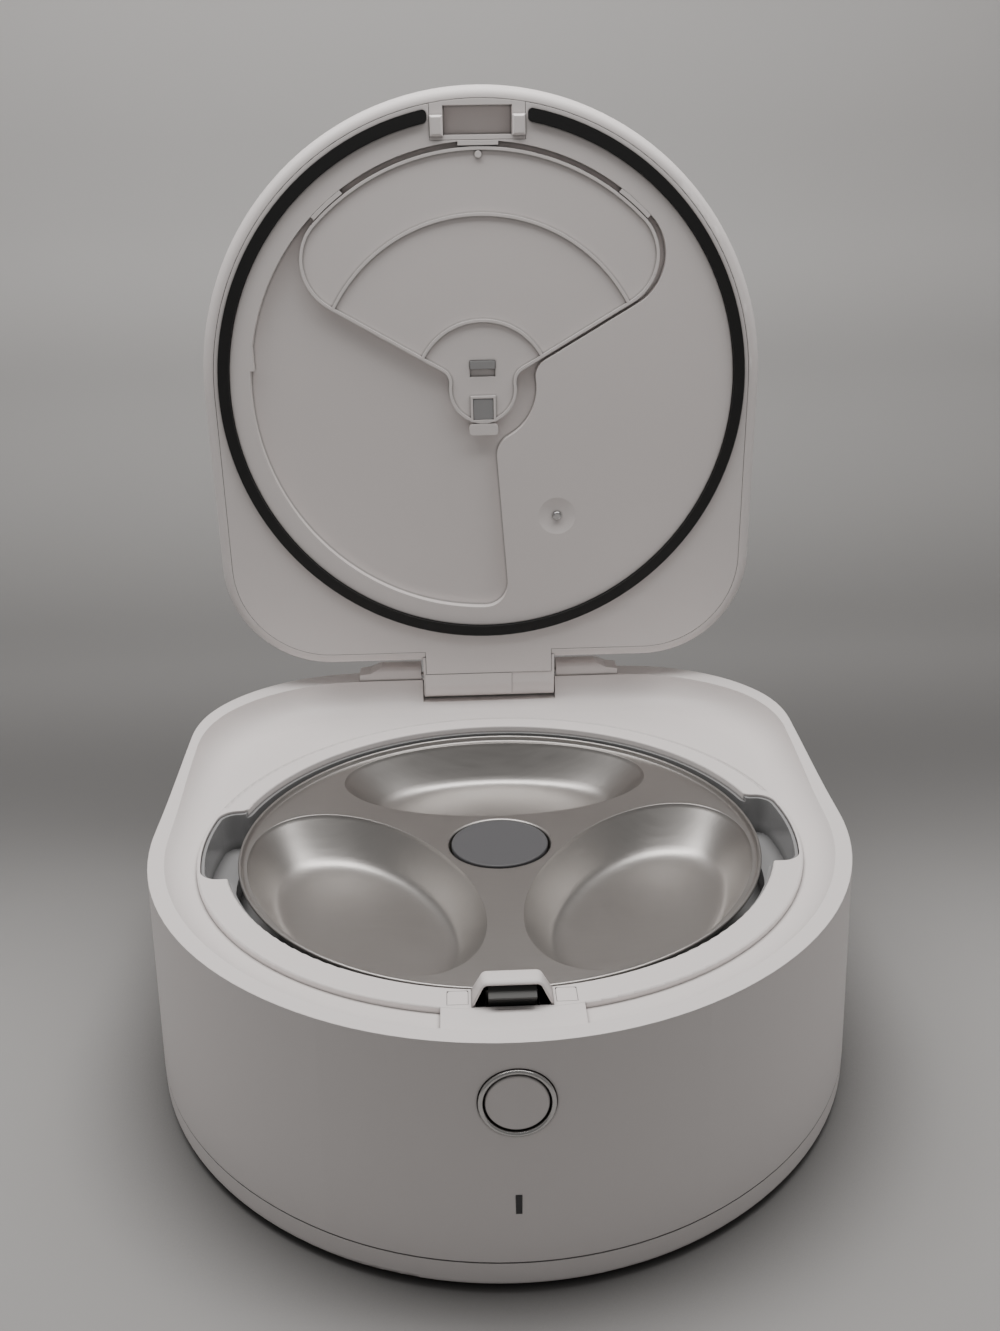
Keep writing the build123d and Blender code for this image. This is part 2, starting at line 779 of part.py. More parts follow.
with BuildPart() as fan_frame:
    with BuildSketch(level(fan_z)):
        with Locations((0, cooler_y)):
            RectangleRounded(fan_side, fan_side, 4)
            Circle(fan_bore_r, mode=Mode.SUBTRACT)
            with GridLocations(2 * fan_screw_half, 2 * fan_screw_half, 2, 2):
                Circle(fan_hole_r, mode=Mode.SUBTRACT)
    extrude(amount=fan_height)
    with BuildSketch(level(fan_z)):
        with Locations((0, cooler_y)):
            Circle(fan_hub_r)
            with PolarLocations(0, 4, start_angle=45):
                with Locations((fan_bore_r / 2 + 3, 0)):
                    Rectangle(fan_bore_r - 4, 3)
    extrude(amount=1.6)
    with BuildSketch(level(fan_z)):
        with Locations((0, cooler_y)):
            Circle(fan_pin_r)
    extrude(amount=8)

with BuildPart() as fan_blade:
    with BuildSketch(Plane(origin=(fan_hub_r - 1, 0, 0), x_dir=(0, 1, 0), z_dir=(1, 0, 0))):
        Rectangle(13, 1.4, rotation=38)
    extrude(amount=fan_bore_r - fan_hub_r - 0.2)

with BuildPart() as fan_rotor:
    with BuildSketch(level(fan_z + 2.2)):
        with Locations((0, cooler_y)):
            Circle(fan_hub_r)
            Circle(fan_pin_r + running, mode=Mode.SUBTRACT)
    extrude(amount=fan_height - 4)
    with Locations((0, tray_y + cooler_y, fan_z + 2.2 + (fan_height - 4) / 2)):
        with PolarLocations(0, fan_blades):
            add(fan_blade.part)

with BuildPart() as tray_motor:
    with BuildSketch(level(drive_motor_z)):
        with Locations((motor_x, motor_y)):
            Circle(drive_motor_r)
    extrude(amount=drive_motor_length)
    with BuildSketch(level(drive_motor_z + drive_motor_length)):
        with Locations((motor_x, motor_y)):
            Circle(5)
    extrude(amount=1.5)
    with BuildSketch(level(drive_motor_z + drive_motor_length)):
        with Locations((motor_x, motor_y)):
            Circle(motor_shaft_r)
    extrude(amount=drive_gear_z + drive_face + 1 - drive_motor_z - drive_motor_length)

with BuildPart() as motor_pinion:
    with BuildSketch(level(drive_gear_z)):
        with Locations((motor_x, motor_y)):
            add(gear_face(drive_pinion_teeth, drive_module, drive_motor_angle + 180 / drive_pinion_teeth))
            Circle(motor_shaft_r + fixed, mode=Mode.SUBTRACT)
    extrude(amount=drive_face)

with BuildPart() as drive_gear:
    with BuildSketch(level(drive_gear_z)):
        add(gear_face(drive_teeth, drive_module, drive_motor_angle))
        Circle(shaft_r + fixed, mode=Mode.SUBTRACT)
        with PolarLocations(gear_hole_ring, 6):
            Circle(gear_hole_r, mode=Mode.SUBTRACT)
    extrude(amount=drive_face)

with BuildPart() as drive_hub:
    with BuildSketch(level(drive_gear_z - shaft_seat)):
        Circle(shaft_r)
    extrude(amount=flange_z - drive_gear_z + shaft_seat + 0.5)
    with BuildSketch(level(flange_z)):
        Circle(hub_flange_r)
    extrude(amount=hub_flange)
    with BuildSketch(level(flange_z + hub_flange - 0.5)):
        Circle(hub_r)
    extrude(amount=cap_z - 2.5 - flange_z - hub_flange + 0.5)

with BuildPart() as hub_cap:
    with BuildSketch(level(cap_z - 2.5)):
        Circle(cap_r)
    extrude(amount=2.5)
    fillet(hub_cap.faces().sort_by(Axis.Z)[-1].edges(), 0.7)

with BuildPart() as cup_outside:
    for share, scale in cup_shares:
        with BuildSketch(level(tray_top_z - share * cup_depth)):
            with Locations((0, cup_centre_r)):
                Ellipse(cup_half_length * scale + tray_sheet, cup_half_width * scale + tray_sheet)
    loft()
    with BuildSketch(level(tray_top_z - cup_depth - tray_sheet)):
        with Locations((0, cup_centre_r)):
            Ellipse(cup_half_length * cup_shares[-1][1] + tray_sheet,
                    cup_half_width * cup_shares[-1][1] + tray_sheet)
    extrude(amount=tray_sheet)

with BuildPart() as cup_inside:
    for share, scale in cup_shares:
        with BuildSketch(level(tray_top_z - share * cup_depth)):
            with Locations((0, cup_centre_r)):
                Ellipse(cup_half_length * scale, cup_half_width * scale)
    loft()

with BuildPart() as tray:
    with BuildSketch(level(tray_top_z - tray_sheet)):
        Circle(tray_r - tray_roll_r)
    extrude(amount=tray_sheet)
    with BuildSketch(section_plane):
        with Locations((tray_r - tray_roll_r, tray_top_z)):
            Circle(tray_roll_r)
    revolve(axis=tray_axis)
    for turn in (0, 120, 240):
        add(cup_outside.part.rotate(tray_axis, turn))
    for turn in (0, 120, 240):
        add(cup_inside.part.rotate(tray_axis, turn), mode=Mode.SUBTRACT)
    with BuildSketch(level(tray_top_z - 12)):
        Circle(tray_hole_r + tray_sheet)
    extrude(amount=12)
    with BuildSketch(level(tray_top_z - 13)):
        Circle(tray_hole_r)
    extrude(amount=20, mode=Mode.SUBTRACT)

with BuildPart() as control_board:
    with BuildSketch(level(board_z)):
        with Locations((board_x, board_y)):
            RectangleRounded(board_length, board_width, 3)
    extrude(amount=board_sheet)

with BuildPart() as board_components:
    with BuildSketch(level(board_z + board_sheet)):
        for x, y, length, width in chip_blocks:
            with Locations((board_x + x, board_y + y)):
                Rectangle(length, width)
    extrude(amount=chip_height)
    with BuildSketch(level(board_z + board_sheet)):
        with Locations((board_x + plug_block[0], board_y + plug_block[1])):
            Rectangle(plug_block[2], plug_block[3])
        with Locations((board_x + capacitor_x, board_y)):
            Circle(capacitor_r)
    extrude(amount=plug_height)

with BuildPart() as dc_inlet:
    with BuildSketch(facing(inlet_wall_y)):
        with Locations((inlet_x, inlet_z)):
            RectangleRounded(inlet_neck, inlet_neck, inlet_corner_r)
    extrude(amount=inlet_depth)
    with BuildSketch(facing(inlet_wall_y - wall - hole_gap)):
        with Locations((inlet_x, inlet_z)):
            RectangleRounded(*inlet_body, 1.5)
    extrude(amount=inlet_depth - wall - hole_gap)
    with BuildSketch(facing(inlet_wall_y + 1)):
        with Locations((inlet_x, inlet_z)):
            Circle(inlet_bore_r)
    extrude(amount=inlet_bore + 1, mode=Mode.SUBTRACT)

# Front button, light and latch

with BuildPart() as button_ring:
    with BuildSketch(facing(guide_back)):
        with Locations((0, button_z)):
            Circle(button_ring_r)
    extrude(amount=button_guide)
    chamfer(button_ring.faces().sort_by(Axis.Y)[0].edges(), 0.8)
    with BuildSketch(facing(guide_back - 2)):
        with Locations((0, button_z)):
            Circle(button_ring_in_r)
    extrude(amount=30, mode=Mode.SUBTRACT)
    with BuildSketch(facing(guide_back + 1)):
        with Locations((0, button_z)):
            Circle(button_stem_r + running)
    extrude(amount=10, mode=Mode.SUBTRACT)

stem_end = hook_front - 0.1
with BuildPart() as button_cap:
    with BuildSketch(facing(button_front + button_cap_height + 0.4)):
        with Locations((0, button_z)):
            Circle(button_cap_r)
    extrude(amount=button_cap_height)
    fillet(button_cap.faces().sort_by(Axis.Y)[0].edges(), 0.8)
    with BuildSketch(facing(stem_end)):
        with Locations((0, button_z)):
            Circle(button_stem_r)
    extrude(amount=stem_end - button_front - 4)

with BuildPart() as button_spring:
    with BuildSketch(facing(guide_back - 2)):
        with Locations((0, button_z)):
            Circle(spring_out_r)
            Circle(spring_in_r, mode=Mode.SUBTRACT)
    extrude(amount=button_guide - 2 - button_cap_height - 0.4 - button_travel - hole_gap)

with BuildPart() as light_guide:
    with BuildSketch(facing(button_wall_y + 6)):
        with Locations((0, light_z)):
            Rectangle(light_width, light_height)
    extrude(amount=button_wall_y + 6.1 - light_wall_y)
    with BuildSketch(facing(button_wall_y + 8)):
        with Locations((0, light_z)):
            Rectangle(8, 14)
    extrude(amount=8 - wall - 1.8)

with BuildPart() as latch_tower:
    with BuildSketch(level(ring_z)):
        with Locations((0, tower_front + tower_depth / 2)):
            RectangleRounded(tower_width, tower_depth, 2.4)
    with BuildSketch(level(ring_z + tower_height)):
        with Locations((0, tower_front + tower_depth / 2 + 0.3)):
            RectangleRounded(tower_top_width, tower_depth - 2, 2.4)
    loft()
    fillet(latch_tower.faces().sort_by(Axis.Z)[-1].edges(), 1.2)
    with BuildSketch(level(ring_z)):
        with Locations((0, tower_front + tower_depth / 2)):
            Rectangle(tower_width - 3.6, tower_depth - 2.6)
    with BuildSketch(level(ring_z + tower_height - 2)):
        with Locations((0, tower_front + tower_depth / 2 + 0.3)):
            Rectangle(tower_top_width - 1.6, tower_depth - 4)
    loft(mode=Mode.SUBTRACT)
    with BuildSketch(facing(tower_front + 4)):
        with BuildLine():
            Polyline([(-window_bottom, ring_z), (window_bottom, ring_z), (window_top, ring_z + window_height),
                      (-window_top, ring_z + window_height)], close=True)
        make_face()
    extrude(amount=8, mode=Mode.SUBTRACT)

with BuildPart() as latch_hook:
    with BuildSketch(side_plane):
        with BuildLine():
            Polyline([(hook_front, button_z - 6), (hook_front + hook_thickness, button_z - 6),
                      (hook_front + hook_thickness, hook_top_z), (hook_front, hook_top_z),
                      (hook_nose, hook_catch_z + 0.5), (hook_nose, hook_catch_z),
                      (hook_front, hook_catch_z)], close=True)
        make_face()
    extrude(amount=hook_half_width - 0.5, both=True)

with BuildPart() as side_panels:
    with BuildSketch(level(ring_z - side_panel_sheet)):
        with Locations(panel_places):
            Rectangle(side_panel_out - side_panel_in - hole_gap,
                      side_panel_back - side_panel_front - hole_gap)
    extrude(amount=side_panel_sheet)
    fillet(side_panels.edges().filter_by(Axis.Z).group_by(Axis.Y)[-1], 1.2)

# Hinge hardware

with BuildPart() as hinge_pin:
    with BuildSketch(across(-pin_half)):
        with Locations((hinge_y, hinge_z)):
            Circle(pin_r)
    extrude(amount=2 * pin_half)

for side, name in ((-1, "hinge_cover_left"), (1, "hinge_cover_right")):
    with BuildPart() as hinge_cover:
        with BuildSketch(facing(cover_rear)):
            with BuildLine():
                Polyline([(side * cover_inner, cover_split_z), (side * cover_inner, cover_top_z),
                          (side * 62, cover_top_z), (side * 68.5, cover_split_z + 4.4),
                          (side * cover_half, cover_split_z + 3.6), (side * cover_half, cover_split_z)],
                         close=True)
            make_face()
        extrude(amount=cover_rear - cover_front)
        fillet(hinge_cover.edges().filter_by(Axis.X).group_by(Axis.Z)[-1], 3)
        with BuildSketch(side_plane):
            with Locations((hinge_y, hinge_z)):
                Circle(pin_r + fixed)
        extrude(amount=pin_half + 0.4, both=True, mode=Mode.SUBTRACT)
    hinge_cover.part.label = name
    export_step(hinge_cover.part, f"parts/{name}.step")

# Lid, drawn closed

keeper_recess = hook_nose - 0.4
with BuildPart() as lid_void:
    with BuildSketch(level(lid_face_z + panel_thickness)):
        add(lid_outline(lid_wall))
    extrude(amount=lid_cavity_z - lid_face_z - panel_thickness)
    fillet(lid_void.faces().sort_by(Axis.Z)[-1].edges(), lid_top_edge_r - lid_wall)

with BuildPart() as lid_shell:
    with BuildSketch(level(lid_face_z)):
        add(lid_outline(0))
    extrude(amount=lid_top_z - lid_face_z)
    fillet(lid_shell.faces().sort_by(Axis.Z)[-1].edges(), lid_top_edge_r)
    fillet(lid_shell.faces().sort_by(Axis.Z)[0].edges(), lid_bottom_edge_r)
    add(lid_void.part, mode=Mode.SUBTRACT)
    # Hinge block that reaches back to the barrel
    with BuildSketch(across(-barrel_half)):
        with Locations((hinge_y, hinge_z)):
            Circle(barrel_r)
        with Locations((hinge_y, hinge_z - barrel_r)):
            Rectangle(hinge_y - lid_rear + lid_wall, barrel_r + 11, align=(Align.MAX, Align.MIN))
    extrude(amount=2 * barrel_half)
    with BuildSketch(level(lid_face_z - 1)):
        add(lid_outline(panel_inset - 0.2))
        with Locations((0, tongue_back + 0.2)):
            Rectangle(2 * barrel_half - 3, 40, align=(Align.CENTER, Align.MAX))
    extrude(amount=panel_thickness + 1, mode=Mode.SUBTRACT)
    with BuildSketch(side_plane):
        with Locations((hinge_y, hinge_z)):
            Circle(pin_r + running)
    extrude(amount=barrel_half + 1, both=True, mode=Mode.SUBTRACT)
    with BuildSketch(across(hinge_spring_out)):
        with Locations((hinge_y, hinge_z)):
            Circle(hinge_spring_r + 0.1)
    extrude(amount=hinge_spring_in - hinge_spring_out, mode=Mode.SUBTRACT)
    with BuildSketch(level(lid_cavity_z - 1)):
        add(aperture_outline((lid_cavity_z - pocket_z - pocket_floor) * tan(radians(funnel_flare))))
    extrude(amount=lid_wall + 2, mode=Mode.SUBTRACT)

with BuildPart() as torsion_spring:
    with BuildSketch(across(hinge_spring_out + 0.2)):
        with Locations((hinge_y, hinge_z)):
            Circle(hinge_spring_r)
            Circle(pin_r + running, mode=Mode.SUBTRACT)
    extrude(amount=hinge_spring_in - hinge_spring_out - 0.4)

with BuildPart() as pocket_tool:
    with BuildSketch(level(lid_face_z - 1)):
        add(pocket_outline())
    extrude(amount=pocket_z - lid_face_z + 1)
    with BuildSketch(level(lid_face_z - 2)):
        with Locations((0, -pocket_r)):
            Rectangle(20, 4.4)
        with Locations((-pocket_r, -21.7)):
            Rectangle(5, 19)
    extrude(amount=pocket_z - lid_face_z + 4, mode=Mode.SUBTRACT)

with BuildPart() as lid_inner_panel:
    with BuildSketch(level(lid_face_z)):
        add(lid_outline(panel_inset))
        with Locations((0, tongue_back)):
            Rectangle(2 * barrel_half - 3.4, 40, align=(Align.CENTER, Align.MAX))
    extrude(amount=panel_thickness)
    with BuildSketch(level(lid_face_z + panel_thickness)):
        add(lid_outline(panel_flange_inset))
        with Locations((0, lid_rear)):
            Rectangle(2 * barrel_half + 4, 12, mode=Mode.SUBTRACT)
    extrude(amount=panel_flange)
    with BuildSketch(level(lid_face_z + 1)):
        add(pocket_outline())
        offset(amount=pocket_floor)
    extrude(amount=pocket_z + pocket_floor - lid_face_z - 1)
    add(pocket_tool.part, mode=Mode.SUBTRACT)
    # Gasket groove, open across the front latch
    with BuildSketch(level(lid_face_z - 1)) as groove_face:
        Circle(gasket_out_r + 0.2)
        Circle(gasket_in_r - 0.2, mode=Mode.SUBTRACT)
        with Locations((0, -gasket_out_r)):
            Rectangle(2 * gasket_gap_half - 0.4, 30, mode=Mode.SUBTRACT)
        fillet(groove_face.vertices(), 2)
    extrude(amount=gasket_groove + 1, mode=Mode.SUBTRACT)
    with BuildSketch(level(lid_face_z - 1)):
        with Locations((0, -160)):
            Rectangle(2 * keeper_half_width + 0.4, 160 + keeper_back + 0.2, align=(Align.CENTER, Align.MIN))
    extrude(amount=10, mode=Mode.SUBTRACT)
    with BuildSketch(level(pocket_z - 1)):
        add(aperture_outline(0))
    extrude(amount=10, mode=Mode.SUBTRACT)
    # Boss and bore for the door shaft, posts for its motor
    with BuildSketch(level(pocket_z + 0.5)):
        Circle(9)
    extrude(amount=door_gear_z - pocket_z - 1)
    with BuildSketch(level(pocket_z - 1)):
        Circle(shaft_r + running)
    extrude(amount=10, mode=Mode.SUBTRACT)
    with BuildSketch(level(lid_face_z + panel_thickness - 0.5)):
        with Locations((door_motor_x, door_motor_y)):
            with PolarLocations(door_motor_post, 2, start_angle=door_motor_angle + 90):
                Circle(3)
    extrude(amount=motor_flange_z - lid_face_z - panel_thickness + 0.5)
    with Locations((probe_x, tray_y + probe_y, lid_face_z + dimple_depth - dimple_ball)):
        Sphere(dimple_ball, mode=Mode.SUBTRACT)
    with BuildSketch(level(lid_face_z - 1)):
        with Locations((probe_x, probe_y)):
            Circle(probe_r + 0.05)
    extrude(amount=10, mode=Mode.SUBTRACT)

with BuildPart() as lid_gasket:
    with BuildSketch(level(gasket_z)) as gasket_face:
        Circle(gasket_out_r)
        Circle(gasket_in_r, mode=Mode.SUBTRACT)
        with Locations((0, -gasket_out_r)):
            Rectangle(2 * gasket_gap_half, 30, mode=Mode.SUBTRACT)
        fillet(gasket_face.vertices(), 2)
    extrude(amount=lid_face_z + gasket_groove - gasket_z)

with BuildPart() as latch_keeper:
    with BuildSketch(level(lid_face_z)):
        Circle(lid_half_width - panel_inset)
        with Locations((0, keeper_back)):
            Rectangle(2 * keeper_half_width, 40, align=(Align.CENTER, Align.MAX), mode=Mode.INTERSECT)
    extrude(amount=keeper_top_z - lid_face_z)
    with BuildSketch(level(lid_face_z + panel_thickness + panel_flange)):
        with Locations((0, keeper_back - 8)):
            Rectangle(2 * keeper_half_width + 6, 14)
    extrude(amount=2)
    with BuildSketch(level(gasket_z)):
        with Locations((-keeper_pad_x, keeper_pad_y), (keeper_pad_x, keeper_pad_y)):
            Rectangle(*keeper_pad)
    extrude(amount=lid_face_z - gasket_z)
    chamfer(latch_keeper.faces().filter_by(Axis.Z).group_by(Axis.Z)[0].edges(), 1)
    with BuildSketch(level(lid_face_z - 3)):
        with Locations((0, tower_front - 0.5)):
            Rectangle(2 * keeper_pocket_half, tower_depth + 1.2, align=(Align.CENTER, Align.MIN))
    extrude(amount=ring_z + tower_height + 0.9 - lid_face_z + 3, mode=Mode.SUBTRACT)
    with BuildSketch(level(hook_catch_z - 0.1)):
        with Locations((0, keeper_recess)):
            Rectangle(2 * hook_half_width + 2, 6, align=(Align.CENTER, Align.MIN))
    extrude(amount=hook_top_z - hook_catch_z + 1, mode=Mode.SUBTRACT)

with BuildPart() as feeding_funnel:
    funnel_height = lid_cavity_z - pocket_z - pocket_floor
    with BuildSketch(level(pocket_z + pocket_floor)):
        add(aperture_outline(funnel_wall))
    extrude(amount=funnel_height, taper=-funnel_flare)
    with BuildSketch(level(pocket_z + pocket_floor)):
        add(aperture_outline(0))
    extrude(amount=funnel_height, taper=-funnel_flare, mode=Mode.SUBTRACT)

with BuildPart() as door_panel:
    with BuildSketch(level(door_z)):
        add(door_outline(0))
    extrude(amount=door_thickness)
    with BuildSketch(level(door_rib_z)):
        add(door_outline(0))
        add(door_outline(door_rib), mode=Mode.SUBTRACT)
    extrude(amount=door_z - door_rib_z)
    with BuildSketch(level(door_rib_z)):
        for rib_r in door_rib_radii:
            Circle(rib_r + door_rib / 2)
            Circle(rib_r - door_rib / 2, mode=Mode.SUBTRACT)
        add(door_outline(0.5), mode=Mode.INTERSECT)
    extrude(amount=door_z - door_rib_z)
    with BuildSketch(level(door_rib_z)):
        with Locations((0, door_window_y)):
            Rectangle(door_window_size[0] + 2.6, door_window_size[1] + 2.6)
    extrude(amount=door_z - door_rib_z)
    with BuildSketch(level(door_rib_z)):
        with Locations((0, -door_r + 3.6)):
            Circle(1.7)
    extrude(amount=door_z - door_rib_z)
    with BuildSketch(level(door_rib_z - 1)):
        with Locations((0, door_slot_y)):
            Rectangle(*door_slot)
        with Locations((0, door_window_y)):
            Rectangle(*door_window_size)
    extrude(amount=door_thickness + 1 + door_z - door_rib_z - 0.8, mode=Mode.SUBTRACT)
    with BuildSketch(level(door_z + 0.5)):
        Rectangle(7.2, 7.2)
    extrude(amount=door_thickness, mode=Mode.SUBTRACT)

with BuildPart() as door_window:
    with BuildSketch(level(door_rib_z + 0.2)):
        with Locations((0, door_window_y)):
            Rectangle(door_window_size[0] - 0.3, door_window_size[1] - 0.3)
    extrude(amount=door_thickness + door_z - door_rib_z - 1.0)
    fillet(door_window.edges().filter_by(Axis.Z), 1)

slider_length = door_slot[1] - door_slide - 0.3
with BuildPart() as lock_slider:
    with BuildSketch(level(door_rib_z + 0.3)):
        with Locations((0, door_slot_y - door_slot[1] / 2 + 0.1 + slider_length / 2)):
            Rectangle(door_slot[0] - 0.3, slider_length)
    extrude(amount=door_thickness + door_z - door_rib_z - 1.1)

with BuildPart() as door_catch:
    with BuildSketch(level(door_rib_z - 0.2)):
        with Locations((0, door_hub_r + catch_size[1] / 2 + 0.1)):
            RectangleRounded(*catch_size, 2)
    extrude(amount=catch_height)

with BuildPart() as door_shaft:
    with BuildSketch(level(door_z + 0.6)):
        Rectangle(7, 7)
    extrude(amount=door_thickness)
    with BuildSketch(level(door_z + door_thickness)):
        Circle(shaft_r)
    extrude(amount=door_gear_z - door_z - door_thickness + door_face + 1)

with BuildPart() as door_gear:
    with BuildSketch(level(door_gear_z)):
        add(gear_face(door_teeth, door_module, door_motor_angle))
        Circle(shaft_r + fixed, mode=Mode.SUBTRACT)
    extrude(amount=door_face)

with BuildPart() as door_pinion:
    with BuildSketch(level(door_gear_z)):
        with Locations((door_motor_x, door_motor_y)):
            add(gear_face(door_pinion_teeth, door_module, door_motor_angle + 180 / door_pinion_teeth))
            Circle(motor_shaft_r + fixed, mode=Mode.SUBTRACT)
    extrude(amount=door_face)

with BuildPart() as door_motor:
    with BuildSketch(level(motor_flange_z)):
        with Locations((door_motor_x, door_motor_y)):
            SlotCenterToCenter(2 * door_motor_post, door_motor_lug, rotation=door_motor_angle + 90)
    extrude(amount=2)
    with BuildSketch(level(motor_flange_z + 1)):
        with Locations((door_motor_x, door_motor_y)):
            Circle(door_motor_r)
    extrude(amount=door_motor_length)
    with BuildSketch(level(door_gear_z - 0.5)):
        with Locations((door_motor_x, door_motor_y)):
            Circle(motor_shaft_r)
    extrude(amount=door_face + 3)

with BuildPart() as door_guides:
    with BuildSketch(level(lid_face_z)):
        for middle in guide_angles:
            with BuildLine():
                angles = (middle - guide_spread, middle, middle + guide_spread)
                turns = [(cos(radians(angle)), sin(radians(angle))) for angle in angles]
                outer = [(x * (pocket_r - 0.1), y * (pocket_r - 0.1)) for x, y in turns]
                inner = [(x * (door_r + 0.4), y * (door_r + 0.4)) for x, y in turns]
                ThreePointArc(*outer)
                Line(outer[2], inner[2])
                ThreePointArc(*inner[::-1])
                Line(inner[0], outer[0])
            make_face()
    extrude(amount=pocket_z - lid_face_z)

with BuildPart() as temperature_probe:
    with BuildSketch(level(lid_face_z - 0.6)):
        with Locations((probe_x, probe_y)):
            Circle(probe_r)
    extrude(amount=panel_thickness + 4)
    fillet(temperature_probe.faces().sort_by(Axis.Z)[0].edges(), 0.9)
    with BuildSketch(level(lid_face_z + panel_thickness + panel_flange)):
        with Locations((probe_x, probe_y)):
            Circle(5)
    extrude(amount=2)

with BuildPart() as hinge_patch:
    with BuildSketch(across(patch_left)):
        with Locations((hinge_y, hinge_z)):
            Circle(barrel_r + patch_sheet)
        with Locations((hinge_y, hinge_z - barrel_r - patch_sheet)):
            Rectangle(8, 10, align=(Align.MAX, Align.MIN))
        with Locations((hinge_y, hinge_z)):
            Circle(barrel_r, mode=Mode.SUBTRACT)
        with Locations((hinge_y, hinge_z - barrel_r)):
            Rectangle(30, 60, align=(Align.MAX, Align.MIN), mode=Mode.SUBTRACT)
        with Locations((patch_front, patch_top_z)):
            Rectangle(14.1, 28, align=(Align.MIN, Align.MAX), mode=Mode.INTERSECT)
    extrude(amount=patch_right - patch_left)

base_pieces = {
    "housing": housing, "seat_ring": seat_ring, "bottom_cover": bottom_cover, "feet": feet,
    "housing_screws": housing_screws, "well_liner": well_liner, "shaft_bush": shaft_bush, "insulation": insulation,
    "cold_plate": cold_plate, "thermoelectric_module": thermoelectric_module, "heat_sink": heat_sink,
    "fan_frame": fan_frame, "fan_rotor": fan_rotor, "tray_motor": tray_motor,
    "motor_pinion": motor_pinion, "drive_gear": drive_gear, "drive_hub": drive_hub, "hub_cap": hub_cap,
    "tray": tray, "control_board": control_board, "board_components": board_components,
    "dc_inlet": dc_inlet, "button_ring": button_ring, "button_cap": button_cap,
    "button_spring": button_spring, "light_guide": light_guide, "latch_tower": latch_tower,
    "latch_hook": latch_hook, "side_panels": side_panels, "hinge_pin": hinge_pin,
}
for label, piece in base_pieces.items():
    piece.part.label = label
    export_step(piece.part, f"parts/{label}.step")

# The lid's pieces are turned about the hinge to stand open
lid_pieces = {
    "lid_shell": lid_shell, "lid_inner_panel": lid_inner_panel, "lid_gasket": lid_gasket,
    "latch_keeper": latch_keeper, "feeding_funnel": feeding_funnel, "door_panel": door_panel,
    "door_window": door_window, "lock_slider": lock_slider, "door_catch": door_catch,
    "door_shaft": door_shaft, "door_gear": door_gear, "door_pinion": door_pinion,
    "door_motor": door_motor, "door_guides": door_guides, "temperature_probe": temperature_probe,
    "hinge_patch": hinge_patch, "torsion_spring": torsion_spring,
}
for label, piece in lid_pieces.items():
    opened = piece.part.rotate(hinge_axis, -open_angle)
    opened.label = label
    export_step(opened, f"parts/{label}.step")
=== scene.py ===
import json
import math

import bmesh
import bpy
from mathutils import Matrix, Vector


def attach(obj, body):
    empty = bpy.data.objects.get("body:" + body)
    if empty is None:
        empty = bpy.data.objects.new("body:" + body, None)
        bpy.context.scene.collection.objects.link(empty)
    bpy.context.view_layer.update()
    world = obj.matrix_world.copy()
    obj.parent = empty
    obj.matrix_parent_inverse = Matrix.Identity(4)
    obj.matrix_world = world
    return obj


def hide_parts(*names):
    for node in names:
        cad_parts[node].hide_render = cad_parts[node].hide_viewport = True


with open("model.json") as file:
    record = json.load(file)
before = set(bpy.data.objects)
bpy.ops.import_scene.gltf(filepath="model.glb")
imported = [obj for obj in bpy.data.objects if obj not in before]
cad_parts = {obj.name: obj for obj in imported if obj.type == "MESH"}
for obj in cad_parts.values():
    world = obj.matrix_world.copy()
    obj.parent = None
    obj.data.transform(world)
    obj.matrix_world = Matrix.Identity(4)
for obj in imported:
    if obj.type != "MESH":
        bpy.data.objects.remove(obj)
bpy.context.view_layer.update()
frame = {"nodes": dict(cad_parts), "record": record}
nodes = frame["nodes"]
print("frame loaded,", len(nodes), "nodes")

# The tray's centre, in metres
trayY = -0.02428


def addSockets(group, inputs, outputs):
    for name, kind, value in inputs:
        socket = group.interface.new_socket(name=name, in_out="INPUT", socket_type=kind)
        if value is not None:
            socket.default_value = value
    for name, kind in outputs:
        group.interface.new_socket(name=name, in_out="OUTPUT", socket_type=kind)


